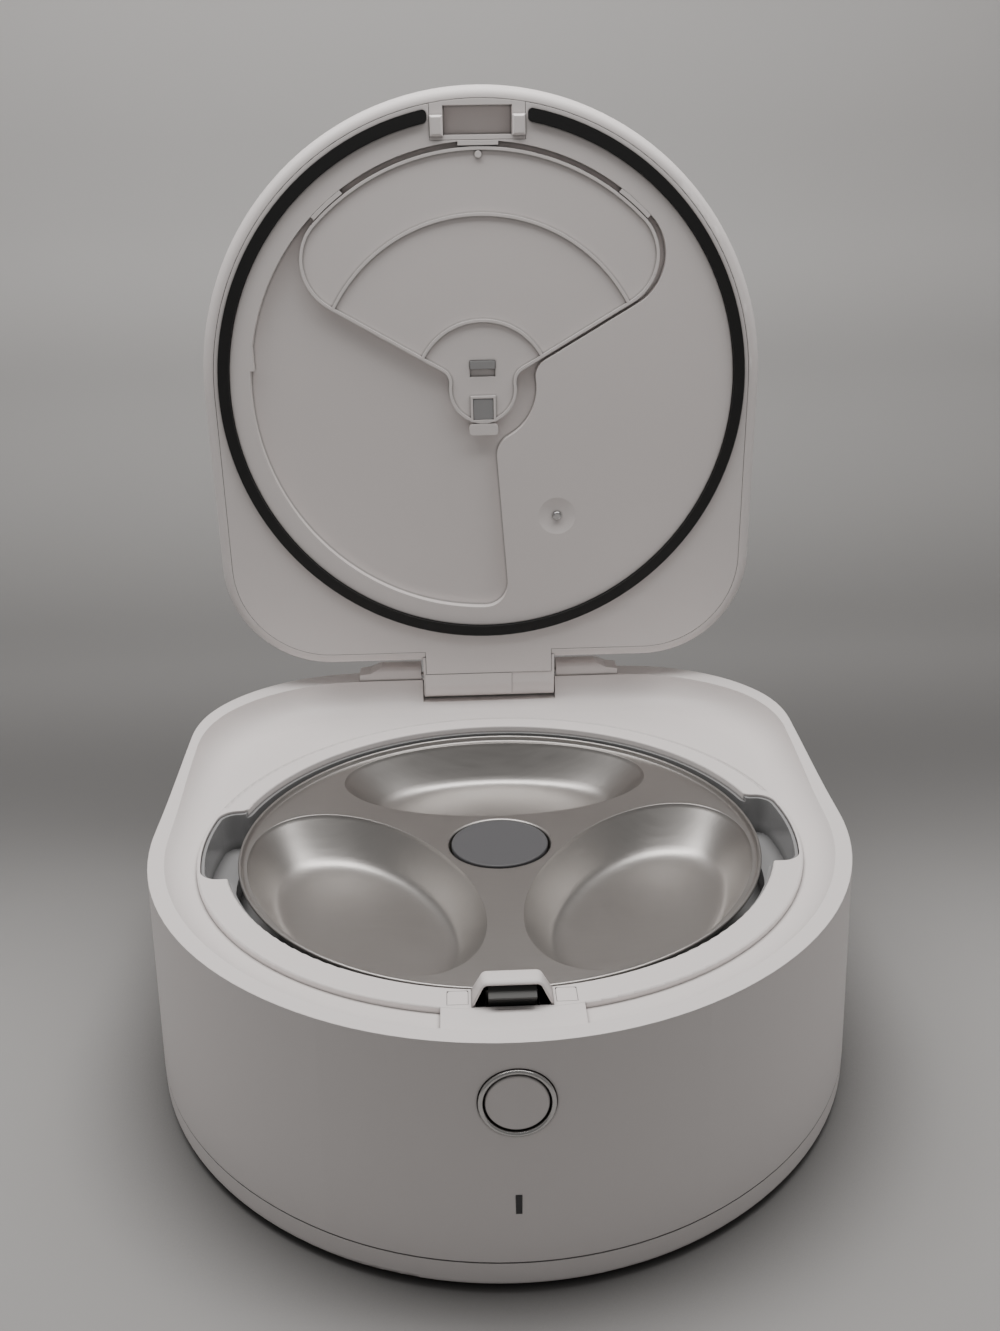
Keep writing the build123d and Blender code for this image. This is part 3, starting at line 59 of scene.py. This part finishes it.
def makeGrainGroup():  # fine moulded grain with a slow drift of tone
    group = bpy.data.node_groups.new("mouldedGrain", "ShaderNodeTree")
    addSockets(group,
               [("Color", "NodeSocketColor", (0.8, 0.8, 0.8, 1)), ("Grain Scale", "NodeSocketFloat", 900.0),
                ("Drift Scale", "NodeSocketFloat", 9.0), ("Drift", "NodeSocketFloat", 0.04),
                ("Roughness", "NodeSocketFloat", 0.4), ("Roughness Drift", "NodeSocketFloat", 0.06)],
               [("Color", "NodeSocketColor"), ("Roughness", "NodeSocketFloat"), ("Height", "NodeSocketFloat")])
    n, link = group.nodes, group.links.new
    start, end = n.new("NodeGroupInput"), n.new("NodeGroupOutput")
    where = n.new("ShaderNodeTexCoord")
    drift = n.new("ShaderNodeTexNoise")
    drift.inputs["Detail"].default_value = 3.0
    grain = n.new("ShaderNodeTexNoise")
    grain.inputs["Detail"].default_value = 2.0
    link(where.outputs["Object"], drift.inputs["Vector"])
    link(where.outputs["Object"], grain.inputs["Vector"])
    link(start.outputs["Drift Scale"], drift.inputs["Scale"])
    link(start.outputs["Grain Scale"], grain.inputs["Scale"])
    centred = n.new("ShaderNodeMath")
    centred.operation = "SUBTRACT"
    centred.inputs[1].default_value = 0.5
    link(drift.outputs["Fac"], centred.inputs[0])
    shade = n.new("ShaderNodeMath")
    shade.operation = "MULTIPLY_ADD"
    shade.inputs[2].default_value = 1.0
    link(centred.outputs[0], shade.inputs[0])
    link(start.outputs["Drift"], shade.inputs[1])
    tint = n.new("ShaderNodeVectorMath")
    tint.operation = "SCALE"
    link(start.outputs["Color"], tint.inputs[0])
    link(shade.outputs[0], tint.inputs["Scale"])
    link(tint.outputs["Vector"], end.inputs["Color"])
    rough = n.new("ShaderNodeMath")
    rough.operation = "MULTIPLY_ADD"
    link(centred.outputs[0], rough.inputs[0])
    link(start.outputs["Roughness Drift"], rough.inputs[1])
    link(start.outputs["Roughness"], rough.inputs[2])
    link(rough.outputs[0], end.inputs["Roughness"])
    link(grain.outputs["Fac"], end.inputs["Height"])
    return group


def makeBrushGroup():  # drawn and satin steel: long faint streaks over a fine tooth
    group = bpy.data.node_groups.new("satinSteel", "ShaderNodeTree")
    addSockets(group,
               [("Color", "NodeSocketColor", (0.6, 0.6, 0.6, 1)), ("Streak Scale", "NodeSocketFloat", 60.0),
                ("Tooth Scale", "NodeSocketFloat", 1500.0), ("Streak", "NodeSocketFloat", 0.08),
                ("Roughness", "NodeSocketFloat", 0.3), ("Roughness Streak", "NodeSocketFloat", 0.12)],
               [("Color", "NodeSocketColor"), ("Roughness", "NodeSocketFloat"), ("Height", "NodeSocketFloat")])
    n, link = group.nodes, group.links.new
    start, end = n.new("NodeGroupInput"), n.new("NodeGroupOutput")
    where = n.new("ShaderNodeTexCoord")
    stretch = n.new("ShaderNodeMapping")
    stretch.inputs["Scale"].default_value = (1.0, 14.0, 3.0)
    streak = n.new("ShaderNodeTexNoise")
    streak.inputs["Detail"].default_value = 5.0
    tooth = n.new("ShaderNodeTexNoise")
    tooth.inputs["Detail"].default_value = 2.0
    link(where.outputs["Object"], stretch.inputs["Vector"])
    link(stretch.outputs["Vector"], streak.inputs["Vector"])
    link(stretch.outputs["Vector"], tooth.inputs["Vector"])
    link(start.outputs["Streak Scale"], streak.inputs["Scale"])
    link(start.outputs["Tooth Scale"], tooth.inputs["Scale"])
    centred = n.new("ShaderNodeMath")
    centred.operation = "SUBTRACT"
    centred.inputs[1].default_value = 0.5
    link(streak.outputs["Fac"], centred.inputs[0])
    shade = n.new("ShaderNodeMath")
    shade.operation = "MULTIPLY_ADD"
    shade.inputs[2].default_value = 1.0
    link(centred.outputs[0], shade.inputs[0])
    link(start.outputs["Streak"], shade.inputs[1])
    tint = n.new("ShaderNodeVectorMath")
    tint.operation = "SCALE"
    link(start.outputs["Color"], tint.inputs[0])
    link(shade.outputs[0], tint.inputs["Scale"])
    link(tint.outputs["Vector"], end.inputs["Color"])
    rough = n.new("ShaderNodeMath")
    rough.operation = "MULTIPLY_ADD"
    link(centred.outputs[0], rough.inputs[0])
    link(start.outputs["Roughness Streak"], rough.inputs[1])
    link(start.outputs["Roughness"], rough.inputs[2])
    link(rough.outputs[0], end.inputs["Roughness"])
    link(tooth.outputs["Fac"], end.inputs["Height"])
    return group


grainGroup = makeGrainGroup()
brushGroup = makeBrushGroup()


# samples for the ambient occlusion that paints shade into colours, and for the rounded-corner normals
creaseSamples, edgeSamples = 8, 6


def surface(name, group, settings, bump, metallic=0.0, coat=0.0, specular=0.5, edge=0.0, crease=0.0):
    material = bpy.data.materials.new(name)
    material.use_nodes = True
    n, link = material.node_tree.nodes, material.node_tree.links.new
    shader = n["Principled BSDF"]
    pattern = n.new("ShaderNodeGroup")
    pattern.node_tree = group
    for key, value in settings.items():
        pattern.inputs[key].default_value = value
    relief = n.new("ShaderNodeBump")
    relief.inputs["Strength"].default_value = bump[0]
    relief.inputs["Distance"].default_value = bump[1]
    color = pattern.outputs["Color"]
    if crease:  # painted shade: an ambient occlusion node darkens the colour in seams, recesses and near other surfaces
        paintedShade = n.new("ShaderNodeAmbientOcclusion")
        paintedShade.samples = creaseSamples
        paintedShade.inputs["Distance"].default_value = crease
        link(color, paintedShade.inputs["Color"])
        color = paintedShade.outputs["Color"]
    link(color, shader.inputs["Base Color"])
    link(pattern.outputs["Roughness"], shader.inputs["Roughness"])
    link(pattern.outputs["Height"], relief.inputs["Height"])
    link(relief.outputs["Normal"], shader.inputs["Normal"])
    if edge:  # moulded corners catch the light as if they were rounded
        corner = n.new("ShaderNodeBevel")
        corner.samples = edgeSamples
        corner.inputs["Radius"].default_value = edge
        link(corner.outputs["Normal"], relief.inputs["Normal"])
    shader.inputs["Metallic"].default_value = metallic
    shader.inputs["Coat Weight"].default_value = coat
    shader.inputs["Specular IOR Level"].default_value = specular
    return material


def plastic(name, color, roughness, grain=1100.0, bump=(0.12, 0.0002), **more):
    return surface(name, grainGroup,
                   {"Color": (*color, 1), "Grain Scale": grain, "Drift": 0.03, "Roughness": roughness,
                    "Roughness Drift": 0.05}, bump, **more)


def steel(name, color, roughness, streak=0.08, bump=(0.1, 0.0001)):
    return surface(name, brushGroup,
                   {"Color": (*color, 1), "Streak": streak, "Roughness": roughness,
                    "Roughness Streak": 0.1}, bump, metallic=1.0)


finishes = {
    # white_plastic and grey_plastic carry painted shade: the ambient occlusion darkens their colour in seams and
    # recesses, most down the liner's well
    "white_plastic": plastic("warmWhiteShell", (0.77, 0.728, 0.716), 0.44, edge=0.0005, crease=0.0013),
    "grey_plastic": plastic("glossGreyLiner", (0.33, 0.33, 0.333), 0.24, coat=0.3, edge=0.0006,
                            crease=0.006),
    "black_rubber": plastic("blackSeal", (0.006, 0.006, 0.006), 0.55, grain=600.0, bump=(0.2, 0.0003)),
    "foot_rubber": plastic("greyFoot", (0.12, 0.12, 0.12), 0.7),
    "tray_steel": steel("pressedTraySteel", (0.41, 0.394, 0.38), 0.38),
    "screw_steel": steel("turnedSteel", (0.6, 0.6, 0.6), 0.22),
    "bush_brass": steel("turnedBrass", (0.62, 0.45, 0.2), 0.3),
    "foam": plastic("creamFoam", (0.72, 0.7, 0.64), 0.9, grain=250.0, bump=(0.5, 0.001)),
    "cooler_aluminium": steel("sawnAluminium", (0.68, 0.68, 0.7), 0.35),
    "ceramic": plastic("coolerCeramic", (0.8, 0.8, 0.78), 0.5),
    "black_plastic": plastic("blackMoulding", (0.02, 0.02, 0.021), 0.42),
    "gear_plastic": plastic("naturalGearPlastic", (0.72, 0.7, 0.62), 0.4),
    "motor_metal": steel("zincMotorCan", (0.5, 0.5, 0.5), 0.4),
    "board": plastic("greenBoard", (0.02, 0.13, 0.06), 0.35, coat=0.4),
    "light_lens": plastic("smokedLens", (0.035, 0.035, 0.037), 0.25),
}

pieceFinishes = {
    "hub_cap": plastic("satinCapGrey", (0.085, 0.085, 0.09), 0.5, edge=0.0004),
    "latch_hook": plastic("matteHookGrey", (0.085, 0.085, 0.082), 0.68, edge=0.0004),
}
# painted shade: a near-black, low-gloss colour for the hood's inside faces and the hook's surround, standing in for
# the shade inside the hood
hoodPaintedShade = plastic("paintedShadeBlack", (0.004, 0.004, 0.004), 0.8, specular=0.15)

cadCrease = 32
slotOf = {piece["node"]: piece["material_slot"] for piece in frame["record"]["subparts"]}
for name, node in nodes.items():
    finish = pieceFinishes.get(name, finishes[slotOf[name]])
    for slot in node.material_slots:
        slot.material = finish
    node.data.polygons.foreach_set("use_smooth", [True] * len(node.data.polygons))
    node.data.set_sharp_from_angle(angle=math.radians(cadCrease))
print("finishes set on", len(nodes), "nodes")


def place(bm, name, body, slot, material, stands=(), angle=cadCrease):
    mesh = bpy.data.meshes.new(name)
    bm.to_mesh(mesh)
    bm.free()
    mesh.polygons.foreach_set("use_smooth", [True] * len(mesh.polygons))
    mesh.set_sharp_from_angle(angle=math.radians(angle))
    piece = bpy.data.objects.new(name, mesh)
    bpy.context.collection.objects.link(piece)
    piece.data.materials.append(material)
    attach(piece, body)
    if stands:
        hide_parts(*stands)
    return piece


def loopOf(extruded):
    return [item for item in extruded["geom"] if isinstance(item, bmesh.types.BMEdge)]


def stepLoop(bm, loop, centre, factor, turn, drop):
    grown = bmesh.ops.extrude_edge_only(bm, edges=loop)
    points = [item for item in grown["geom"] if isinstance(item, bmesh.types.BMVert)]
    rows = Matrix.Rotation(turn, 4, "Z")
    space = rows.inverted() @ Matrix.Translation(-Vector(centre))
    bmesh.ops.scale(bm, verts=points, vec=(factor[0], factor[1], 1), space=space)
    bmesh.ops.translate(bm, verts=points, vec=(0, 0, drop))
    return loopOf(grown)


# The pressed tray: a flat plate, three oval cups, a rolled rim and a turned-down centre hole
trayLook = {"radius": 0.1178, "top": 0.0986, "roll": 0.0008,
            "rise": [(0.1181, 0.0003), (0.1184, 0.0009), (0.1185, 0.0018)], "rollSteps": 12,
            "hole": 0.0248, "holeSides": 72, "holeRoll": 0.0012, "holeSteps": 4, "holeWall": 0.009,
            "lip": 0.0006, "floor": (0.4, 0.2, 0.05), "dish": 0.00003, "cupLength": 0.0780,
            "cupWidth": 0.0440, "cupCentre": 0.0715, "sheet": 0.0010, "sides": 144, "turns": (0, 120, 240),
            "cup": [(0.9975, 0.0), (0.9950, -0.0001), (0.9928, -0.0004), (0.9910, -0.0008), (0.9780, -0.0019),
                    (0.9300, -0.0060), (0.8650, -0.0115), (0.8100, -0.0155), (0.7850, -0.0172),
                    (0.7560, -0.0185), (0.7200, -0.0194), (0.6700, -0.0199), (0.6000, -0.0201)]}


def makeTray(look):
    centre = Vector((0, trayY, look["top"]))
    lip, turnStep = look["lip"], 22.5
    bm = bmesh.new()
    rim = bmesh.ops.create_circle(bm, segments=look["sides"] * 2, radius=look["radius"] - lip,
                                  matrix=Matrix.Translation(centre))["verts"]
    hole = bmesh.ops.create_circle(bm, segments=look["holeSides"], radius=look["hole"] + lip,
                                   matrix=Matrix.Translation(centre))["verts"]
    cups = []
    for turn in look["turns"]:
        spot = centre + Matrix.Rotation(math.radians(turn), 3, "Z") @ Vector((0, look["cupCentre"], 0))
        shape = (Matrix.Translation(spot) @ Matrix.Rotation(math.radians(turn), 4, "Z")
                 @ Matrix.Diagonal((look["cupLength"] + lip, look["cupWidth"] + lip, 1, 1)))
        ring = bmesh.ops.create_circle(bm, segments=look["sides"], radius=1, matrix=shape)["verts"]
        cups.append((math.radians(turn), spot, list({edge for v in ring for edge in v.link_edges})))
    rimLoop = list({edge for v in rim for edge in v.link_edges})
    holeLoop = list({edge for v in hole for edge in v.link_edges})
    bmesh.ops.triangle_fill(bm, use_beauty=True, edges=bm.edges[:], normal=(0, 0, 1))
    for turn, spot, loop in cups:
        rate = (look["cupLength"] / (look["cupLength"] + lip), look["cupWidth"] / (look["cupWidth"] + lip))
        loop = stepLoop(bm, loop, spot, rate, -turn, 0)
        before, depth = 1.0, 0.0
        for share, level in look["cup"]:
            loop = stepLoop(bm, loop, spot, (share / before,) * 2, -turn, level - depth)
            before, depth = share, level
        for share in look["floor"]:
            loop = stepLoop(bm, loop, spot, (share / before,) * 2, -turn, look["dish"])
            before = share
        bmesh.ops.edgenet_fill(bm, edges=loop)
    loop = stepLoop(bm, rimLoop, centre, (look["radius"] / (look["radius"] - lip),) * 2, 0, 0)
    reach, height = look["radius"], 0.0
    for wide, level in look["rise"]:
        loop = stepLoop(bm, loop, centre, (wide / reach,) * 2, 0, level - height)
        reach, height = wide, level
    start = reach
    for k in range(1, look["rollSteps"] + 1):
        angle = math.radians(180 - turnStep * k)
        wide = start + look["roll"] * (1 + math.cos(angle))
        lift = look["roll"] * (math.sin(angle) - math.sin(math.radians(180 - turnStep * (k - 1))))
        loop = stepLoop(bm, loop, centre, (wide / reach,) * 2, 0, lift)
        reach = wide
    loop = stepLoop(bm, holeLoop, centre, (look["hole"] / (look["hole"] + lip),) * 2, 0, 0)
    reach = look["hole"]
    for k in range(1, look["holeSteps"] + 1):
        angle = math.radians(turnStep * k)
        wide = look["hole"] - look["holeRoll"] * math.sin(angle)
        drop = look["holeRoll"] * (math.cos(angle) - math.cos(math.radians(turnStep * (k - 1))))
        loop = stepLoop(bm, loop, centre, (wide / reach,) * 2, 0, drop)
        reach = wide
    stepLoop(bm, loop, centre, (1, 1), 0, -look["holeWall"])
    bmesh.ops.recalc_face_normals(bm, faces=bm.faces)
    flat = max(bm.faces, key=lambda face: face.calc_area())
    if flat.normal.z < 0:
        bmesh.ops.reverse_faces(bm, faces=bm.faces)
    tray = place(bm, "trayPressing", "turntable", "tray_steel", finishes["tray_steel"], ("tray",), 60)
    sheet = tray.modifiers.new("sheet", "SOLIDIFY")
    sheet.thickness, sheet.offset, sheet.use_even_offset = look["sheet"], -1, True


makeTray(trayLook)
print("tray pressed")


# The latch hood on the seat ring, open in front, its inside faces coloured near-black as painted shade, and a
# near-black surround of its hook, also painted shade
hoodLook = {"front": -0.1368, "base": 0.1042, "rise": 0.0097, "halfBase": 0.0154, "halfTop": 0.0107,
            "corner": 0.0016, "back": 0.0118, "backTop": 0.0112, "backDrop": 0.0016, "lean": 0.0006, "setBack": 0.0005,
            "frame": 0.0019, "sill": 0.0001, "edge": 0.0007, "wall": 0.0007, "hook": 0.0099, "floor": 0.1044}


def makeHood(look):
    bm = bmesh.new()
    bmesh.ops.create_grid(bm, x_segments=1, y_segments=1, size=1)
    for v in bm.verts:
        top = v.co.y > 0
        v.co = (math.copysign(look["halfTop"] if top else look["halfBase"], v.co.x),
                look["front"] + trayY + (look["lean"] if top else 0), look["base"] + (look["rise"] if top else 0))
    corners = [v for v in bm.verts if v.co.z > look["base"] + look["rise"] / 2]
    bmesh.ops.bevel(bm, geom=corners, offset=look["corner"], offset_type="OFFSET", segments=5, profile=0.5,
                    affect="VERTICES", material=-1)
    outline, window = bm.edges[:], bm.faces[:]
    bmesh.ops.inset_region(bm, faces=window, thickness=0, depth=-look["setBack"], use_even_offset=True)
    bmesh.ops.delete(bm, geom=window, context="FACES_ONLY")
    grown = bmesh.ops.extrude_edge_only(bm, edges=outline)
    for v in [item for item in grown["geom"] if isinstance(item, bmesh.types.BMVert)]:
        share = (v.co.z - look["base"]) / look["rise"]
        v.co.y += look["back"] + (look["backTop"] - look["back"]) * share
        v.co.z -= look["backDrop"] * share
    back = loopOf(grown)
    bmesh.ops.edgenet_fill(bm, edges=back)
    under = [face for face in bm.faces if all(v.co.z < look["base"] + 0.5 * look["sill"] for v in face.verts)]
    bmesh.ops.delete(bm, geom=under, context="FACES_ONLY")
    bmesh.ops.recalc_face_normals(bm, faces=bm.faces)
    crisp = [edge for edge in outline + back if len(edge.link_faces) == 2]
    bmesh.ops.bevel(bm, geom=crisp, offset=look["edge"], offset_type="OFFSET", segments=3, profile=0.5,
                    affect="EDGES", material=-1)
    hood = place(bm, "latchHood", "base", "white_plastic", finishes["white_plastic"], ("latch_tower",), 40)
    # the solidified inner faces get the painted shade colour
    hood.data.materials.append(hoodPaintedShade)
    shell = hood.modifiers.new("shell", "SOLIDIFY")
    shell.thickness, shell.offset, shell.use_even_offset = look["wall"], -1, True
    shell.material_offset, shell.material_offset_rim = 1, 0


def makeHookSurround(look):
    bm = bmesh.new()
    bmesh.ops.create_grid(bm, x_segments=1, y_segments=1, size=1)
    half, depth = look["halfBase"] - look["frame"], look["back"] / 2 - look["wall"]
    bmesh.ops.scale(bm, verts=bm.verts, vec=(half, depth, 1))
    opening = bm.faces[:]
    bmesh.ops.inset_region(bm, faces=opening, thickness=look["wall"] / 2, use_boundary=True)
    bmesh.ops.scale(bm, verts=opening[0].verts, vec=(look["hook"] / (half - look["wall"] / 2), 1, 1))
    bmesh.ops.delete(bm, geom=opening, context="FACES_ONLY")
    raised = bmesh.ops.extrude_face_region(bm, geom=bm.faces[:])
    bmesh.ops.translate(bm, verts=[item for item in raised["geom"] if isinstance(item, bmesh.types.BMVert)],
                        vec=(0, 0, look["wall"] / 2))
    bmesh.ops.translate(bm, verts=bm.verts, vec=(0, look["front"] + look["back"] / 2 + trayY, look["floor"]))
    bmesh.ops.recalc_face_normals(bm, faces=bm.faces)
    # the hook's surround is coloured with the same painted shade
    place(bm, "hookSurround", "base", "black_plastic", hoodPaintedShade)


makeHood(hoodLook)
makeHookSurround(hoodLook)
print("latch hood moulded")


# The polished bezel around the button
bezelLook = {"outer": 0.01395, "inner": 0.0121, "height": 0.0843, "wall": -0.16444, "proud": 0.0002, "crown": 0.0009,
             "depth": 0.004, "lean": 1.6, "arcSteps": 8, "turnSteps": 96}


def makeBezel(look):
    bm = bmesh.new()
    middle, half = (look["outer"] + look["inner"]) / 2, (look["outer"] - look["inner"]) / 2
    first = bmesh.ops.create_vert(bm, co=(look["outer"], look["depth"], 0))["vert"][0]
    chain = [first]
    for k in range(look["arcSteps"] + 1):
        angle = math.pi * k / look["arcSteps"]
        spot = (middle + half * math.cos(angle), -look["proud"] - look["crown"] * math.sin(angle), 0)
        chain.append(bmesh.ops.create_vert(bm, co=spot)["vert"][0])
    chain.append(bmesh.ops.create_vert(bm, co=(look["inner"], look["depth"], 0))["vert"][0])
    edges = [bm.edges.new(pair) for pair in zip(chain, chain[1:])]
    bmesh.ops.spin(bm, geom=chain + edges, cent=(0, 0, 0), axis=(0, 1, 0), angle=2 * math.pi, steps=look["turnSteps"],
                   use_merge=True)
    bmesh.ops.remove_doubles(bm, verts=bm.verts, dist=1e-6)
    bmesh.ops.recalc_face_normals(bm, faces=bm.faces)
    bmesh.ops.rotate(bm, verts=bm.verts, cent=(0, 0, 0), matrix=Matrix.Rotation(-math.radians(look["lean"]), 3, "X"))
    bmesh.ops.translate(bm, verts=bm.verts, vec=(0, look["wall"] + trayY, look["height"]))
    place(bm, "buttonBezel", "base", "screw_steel", bezelMetal, ("button_ring",), 50)


bezelMetal = steel("polishedBezel", (0.60, 0.59, 0.58), 0.18, 0.04, (0.05, 0.00005))
makeBezel(bezelLook)
print("button bezel turned")


# paintedTones: painted shade and light on the paper, as colour along Y + Z
stageLook = {"reach": 1.6, "behind": 0.62, "height": 1.5, "sweep": 0.45, "sweepSteps": 24, "span": (-0.6, 1.9),
             "paintedTones": [(-0.1, 0.37), (0.28, 0.15), (0.52, 0.23), (1.15, 0.48), (1.4, 0.68), (1.7, 0.80)],
             "tint": (1.0, 0.98, 0.965)}


def makePaper(look):  # painted shade and light: the paper's colour darkens on the floor behind the object and pales up the wall
    # painted shadow: the ambient occlusion darkens the floor within 5 cm of the base
    paper = plastic("sweepPaperPaintedLightAndShade", look["tint"], 0.85, grain=300.0, bump=(0.05, 0.0005), crease=0.05)
    n, link = paper.node_tree.nodes, paper.node_tree.links.new
    where = n.new("ShaderNodeTexCoord")
    axes = n.new("ShaderNodeSeparateXYZ")
    along = n.new("ShaderNodeMath")
    spread = n.new("ShaderNodeMapRange")
    spread.inputs["From Min"].default_value, spread.inputs["From Max"].default_value = look["span"]
    paintedLightAndShade = n.new("ShaderNodeValToRGB")
    paintedLightAndShade.color_ramp.interpolation = "EASE"
    low, high = look["span"]
    for spot, tone in look["paintedTones"]:
        stop = paintedLightAndShade.color_ramp.elements.new((spot - low) / (high - low))
        stop.color = (*(tone * part for part in look["tint"]), 1)
    paintedLightAndShade.color_ramp.elements.remove(paintedLightAndShade.color_ramp.elements[0])
    paintedLightAndShade.color_ramp.elements.remove(paintedLightAndShade.color_ramp.elements[-1])
    link(where.outputs["Object"], axes.inputs["Vector"])
    link(axes.outputs["Y"], along.inputs[0])
    link(axes.outputs["Z"], along.inputs[1])
    link(along.outputs[0], spread.inputs["Value"])
    link(spread.outputs["Result"], paintedLightAndShade.inputs["Fac"])
    pattern = next(node for node in n if node.type == "GROUP")
    link(paintedLightAndShade.outputs["Color"], pattern.inputs["Color"])
    return paper


def makeStage(look):
    bm = bmesh.new()
    bmesh.ops.create_grid(bm, x_segments=2, y_segments=2, size=look["reach"])
    bmesh.ops.translate(bm, verts=bm.verts, vec=(0, look["behind"] - look["reach"], 0))
    back = [edge for edge in bm.edges if all(v.co.y > look["behind"] - 1e-4 for v in edge.verts)]
    r = look["sweep"]
    turned = bmesh.ops.spin(bm, geom=back, cent=(0, look["behind"], r), axis=(1, 0, 0), angle=math.pi / 2,
                            steps=look["sweepSteps"])
    last = [item for item in turned["geom_last"] if isinstance(item, bmesh.types.BMEdge)]
    raised = bmesh.ops.extrude_edge_only(bm, edges=last)
    top = [item for item in raised["geom"] if isinstance(item, bmesh.types.BMVert)]
    bmesh.ops.translate(bm, verts=top, vec=(0, 0, look["height"]))
    bmesh.ops.recalc_face_normals(bm, faces=bm.faces)
    for face in bm.faces:
        face.smooth = True
    mesh = bpy.data.meshes.new("studioSweep")
    bm.to_mesh(mesh)
    bm.free()
    floor = bpy.data.objects.new("studioSweep", mesh)
    bpy.context.collection.objects.link(floor)
    floor.data.materials.append(makePaper(look))


makeStage(stageLook)


def areaLight(name, place, aim, size, power, color):
    data = bpy.data.lights.new(name, "AREA")
    data.shape = "RECTANGLE"
    data.size, data.size_y = size
    data.energy = power
    data.color = color
    lamp = bpy.data.objects.new(name, data)
    bpy.context.collection.objects.link(lamp)
    lamp.location = place
    lamp.rotation_euler = (Vector(aim) - Vector(place)).to_track_quat("-Z", "Y").to_euler()


areaLight("overheadTent", (0.0, -0.02, 0.85), (0, -0.02, 0.1), (1.2, 0.34), 6.6, (1.0, 0.98, 0.965))
areaLight("backWash", (-0.2, 0.15, 1.5), (-0.1, 0.95, 0.45), (1.6, 0.3), 9.0, (1.0, 0.99, 0.98))


def makeAir(look):  # the tent's cloth glows behind and above, and its front is open and dark
    world = bpy.data.worlds.new("tentAir")
    bpy.context.scene.world = world
    world.use_nodes = True
    n, link = world.node_tree.nodes, world.node_tree.links.new
    where = n.new("ShaderNodeTexCoord")
    axes = n.new("ShaderNodeSeparateXYZ")
    spread = n.new("ShaderNodeMapRange")
    spread.inputs["From Min"].default_value, spread.inputs["From Max"].default_value = look["from"]
    spread.inputs["To Min"].default_value, spread.inputs["To Max"].default_value = look["glow"]
    link(where.outputs["Generated"], axes.inputs["Vector"])
    link(axes.outputs["Y"], spread.inputs["Value"])
    link(spread.outputs["Result"], n["Background"].inputs["Strength"])
    n["Background"].inputs["Color"].default_value = look["color"]


makeAir({"from": (-0.6, 0.4), "glow": (0.21, 0.34), "color": (1.0, 0.985, 0.97, 1)})

cameraFit = {"place": (-0.0141506, -0.5285200, 0.3826153), "yaw": 0.0300273, "pitch": 0.3546329,
             "roll": 0.0188297, "focal": 1271.664, "longSide": 1331.0}


def makeCamera(fit):
    yaw, pitch, roll = fit["yaw"], fit["pitch"], fit["roll"]
    ahead = Vector((math.sin(yaw) * math.cos(pitch), math.cos(yaw) * math.cos(pitch), -math.sin(pitch)))
    level = Vector((math.cos(yaw), -math.sin(yaw), 0))
    down = ahead.cross(level)
    right = level * math.cos(roll) + down * math.sin(roll)
    below = down * math.cos(roll) - level * math.sin(roll)
    data = bpy.data.cameras.new("photoCamera")
    data.sensor_fit = "AUTO"
    data.sensor_width = 36.0
    data.lens = fit["focal"] / fit["longSide"] * 36.0
    data.clip_start, data.clip_end = 0.01, 20
    camera = bpy.data.objects.new("photoCamera", data)
    bpy.context.collection.objects.link(camera)
    turn = Matrix((right, -below, -ahead)).transposed().to_4x4()
    place = Vector(fit["place"]) + Vector((0, trayY, 0))
    camera.matrix_world = Matrix.Translation(place) @ turn
    bpy.context.scene.camera = camera


makeCamera(cameraFit)
print("stage, lights and camera set")
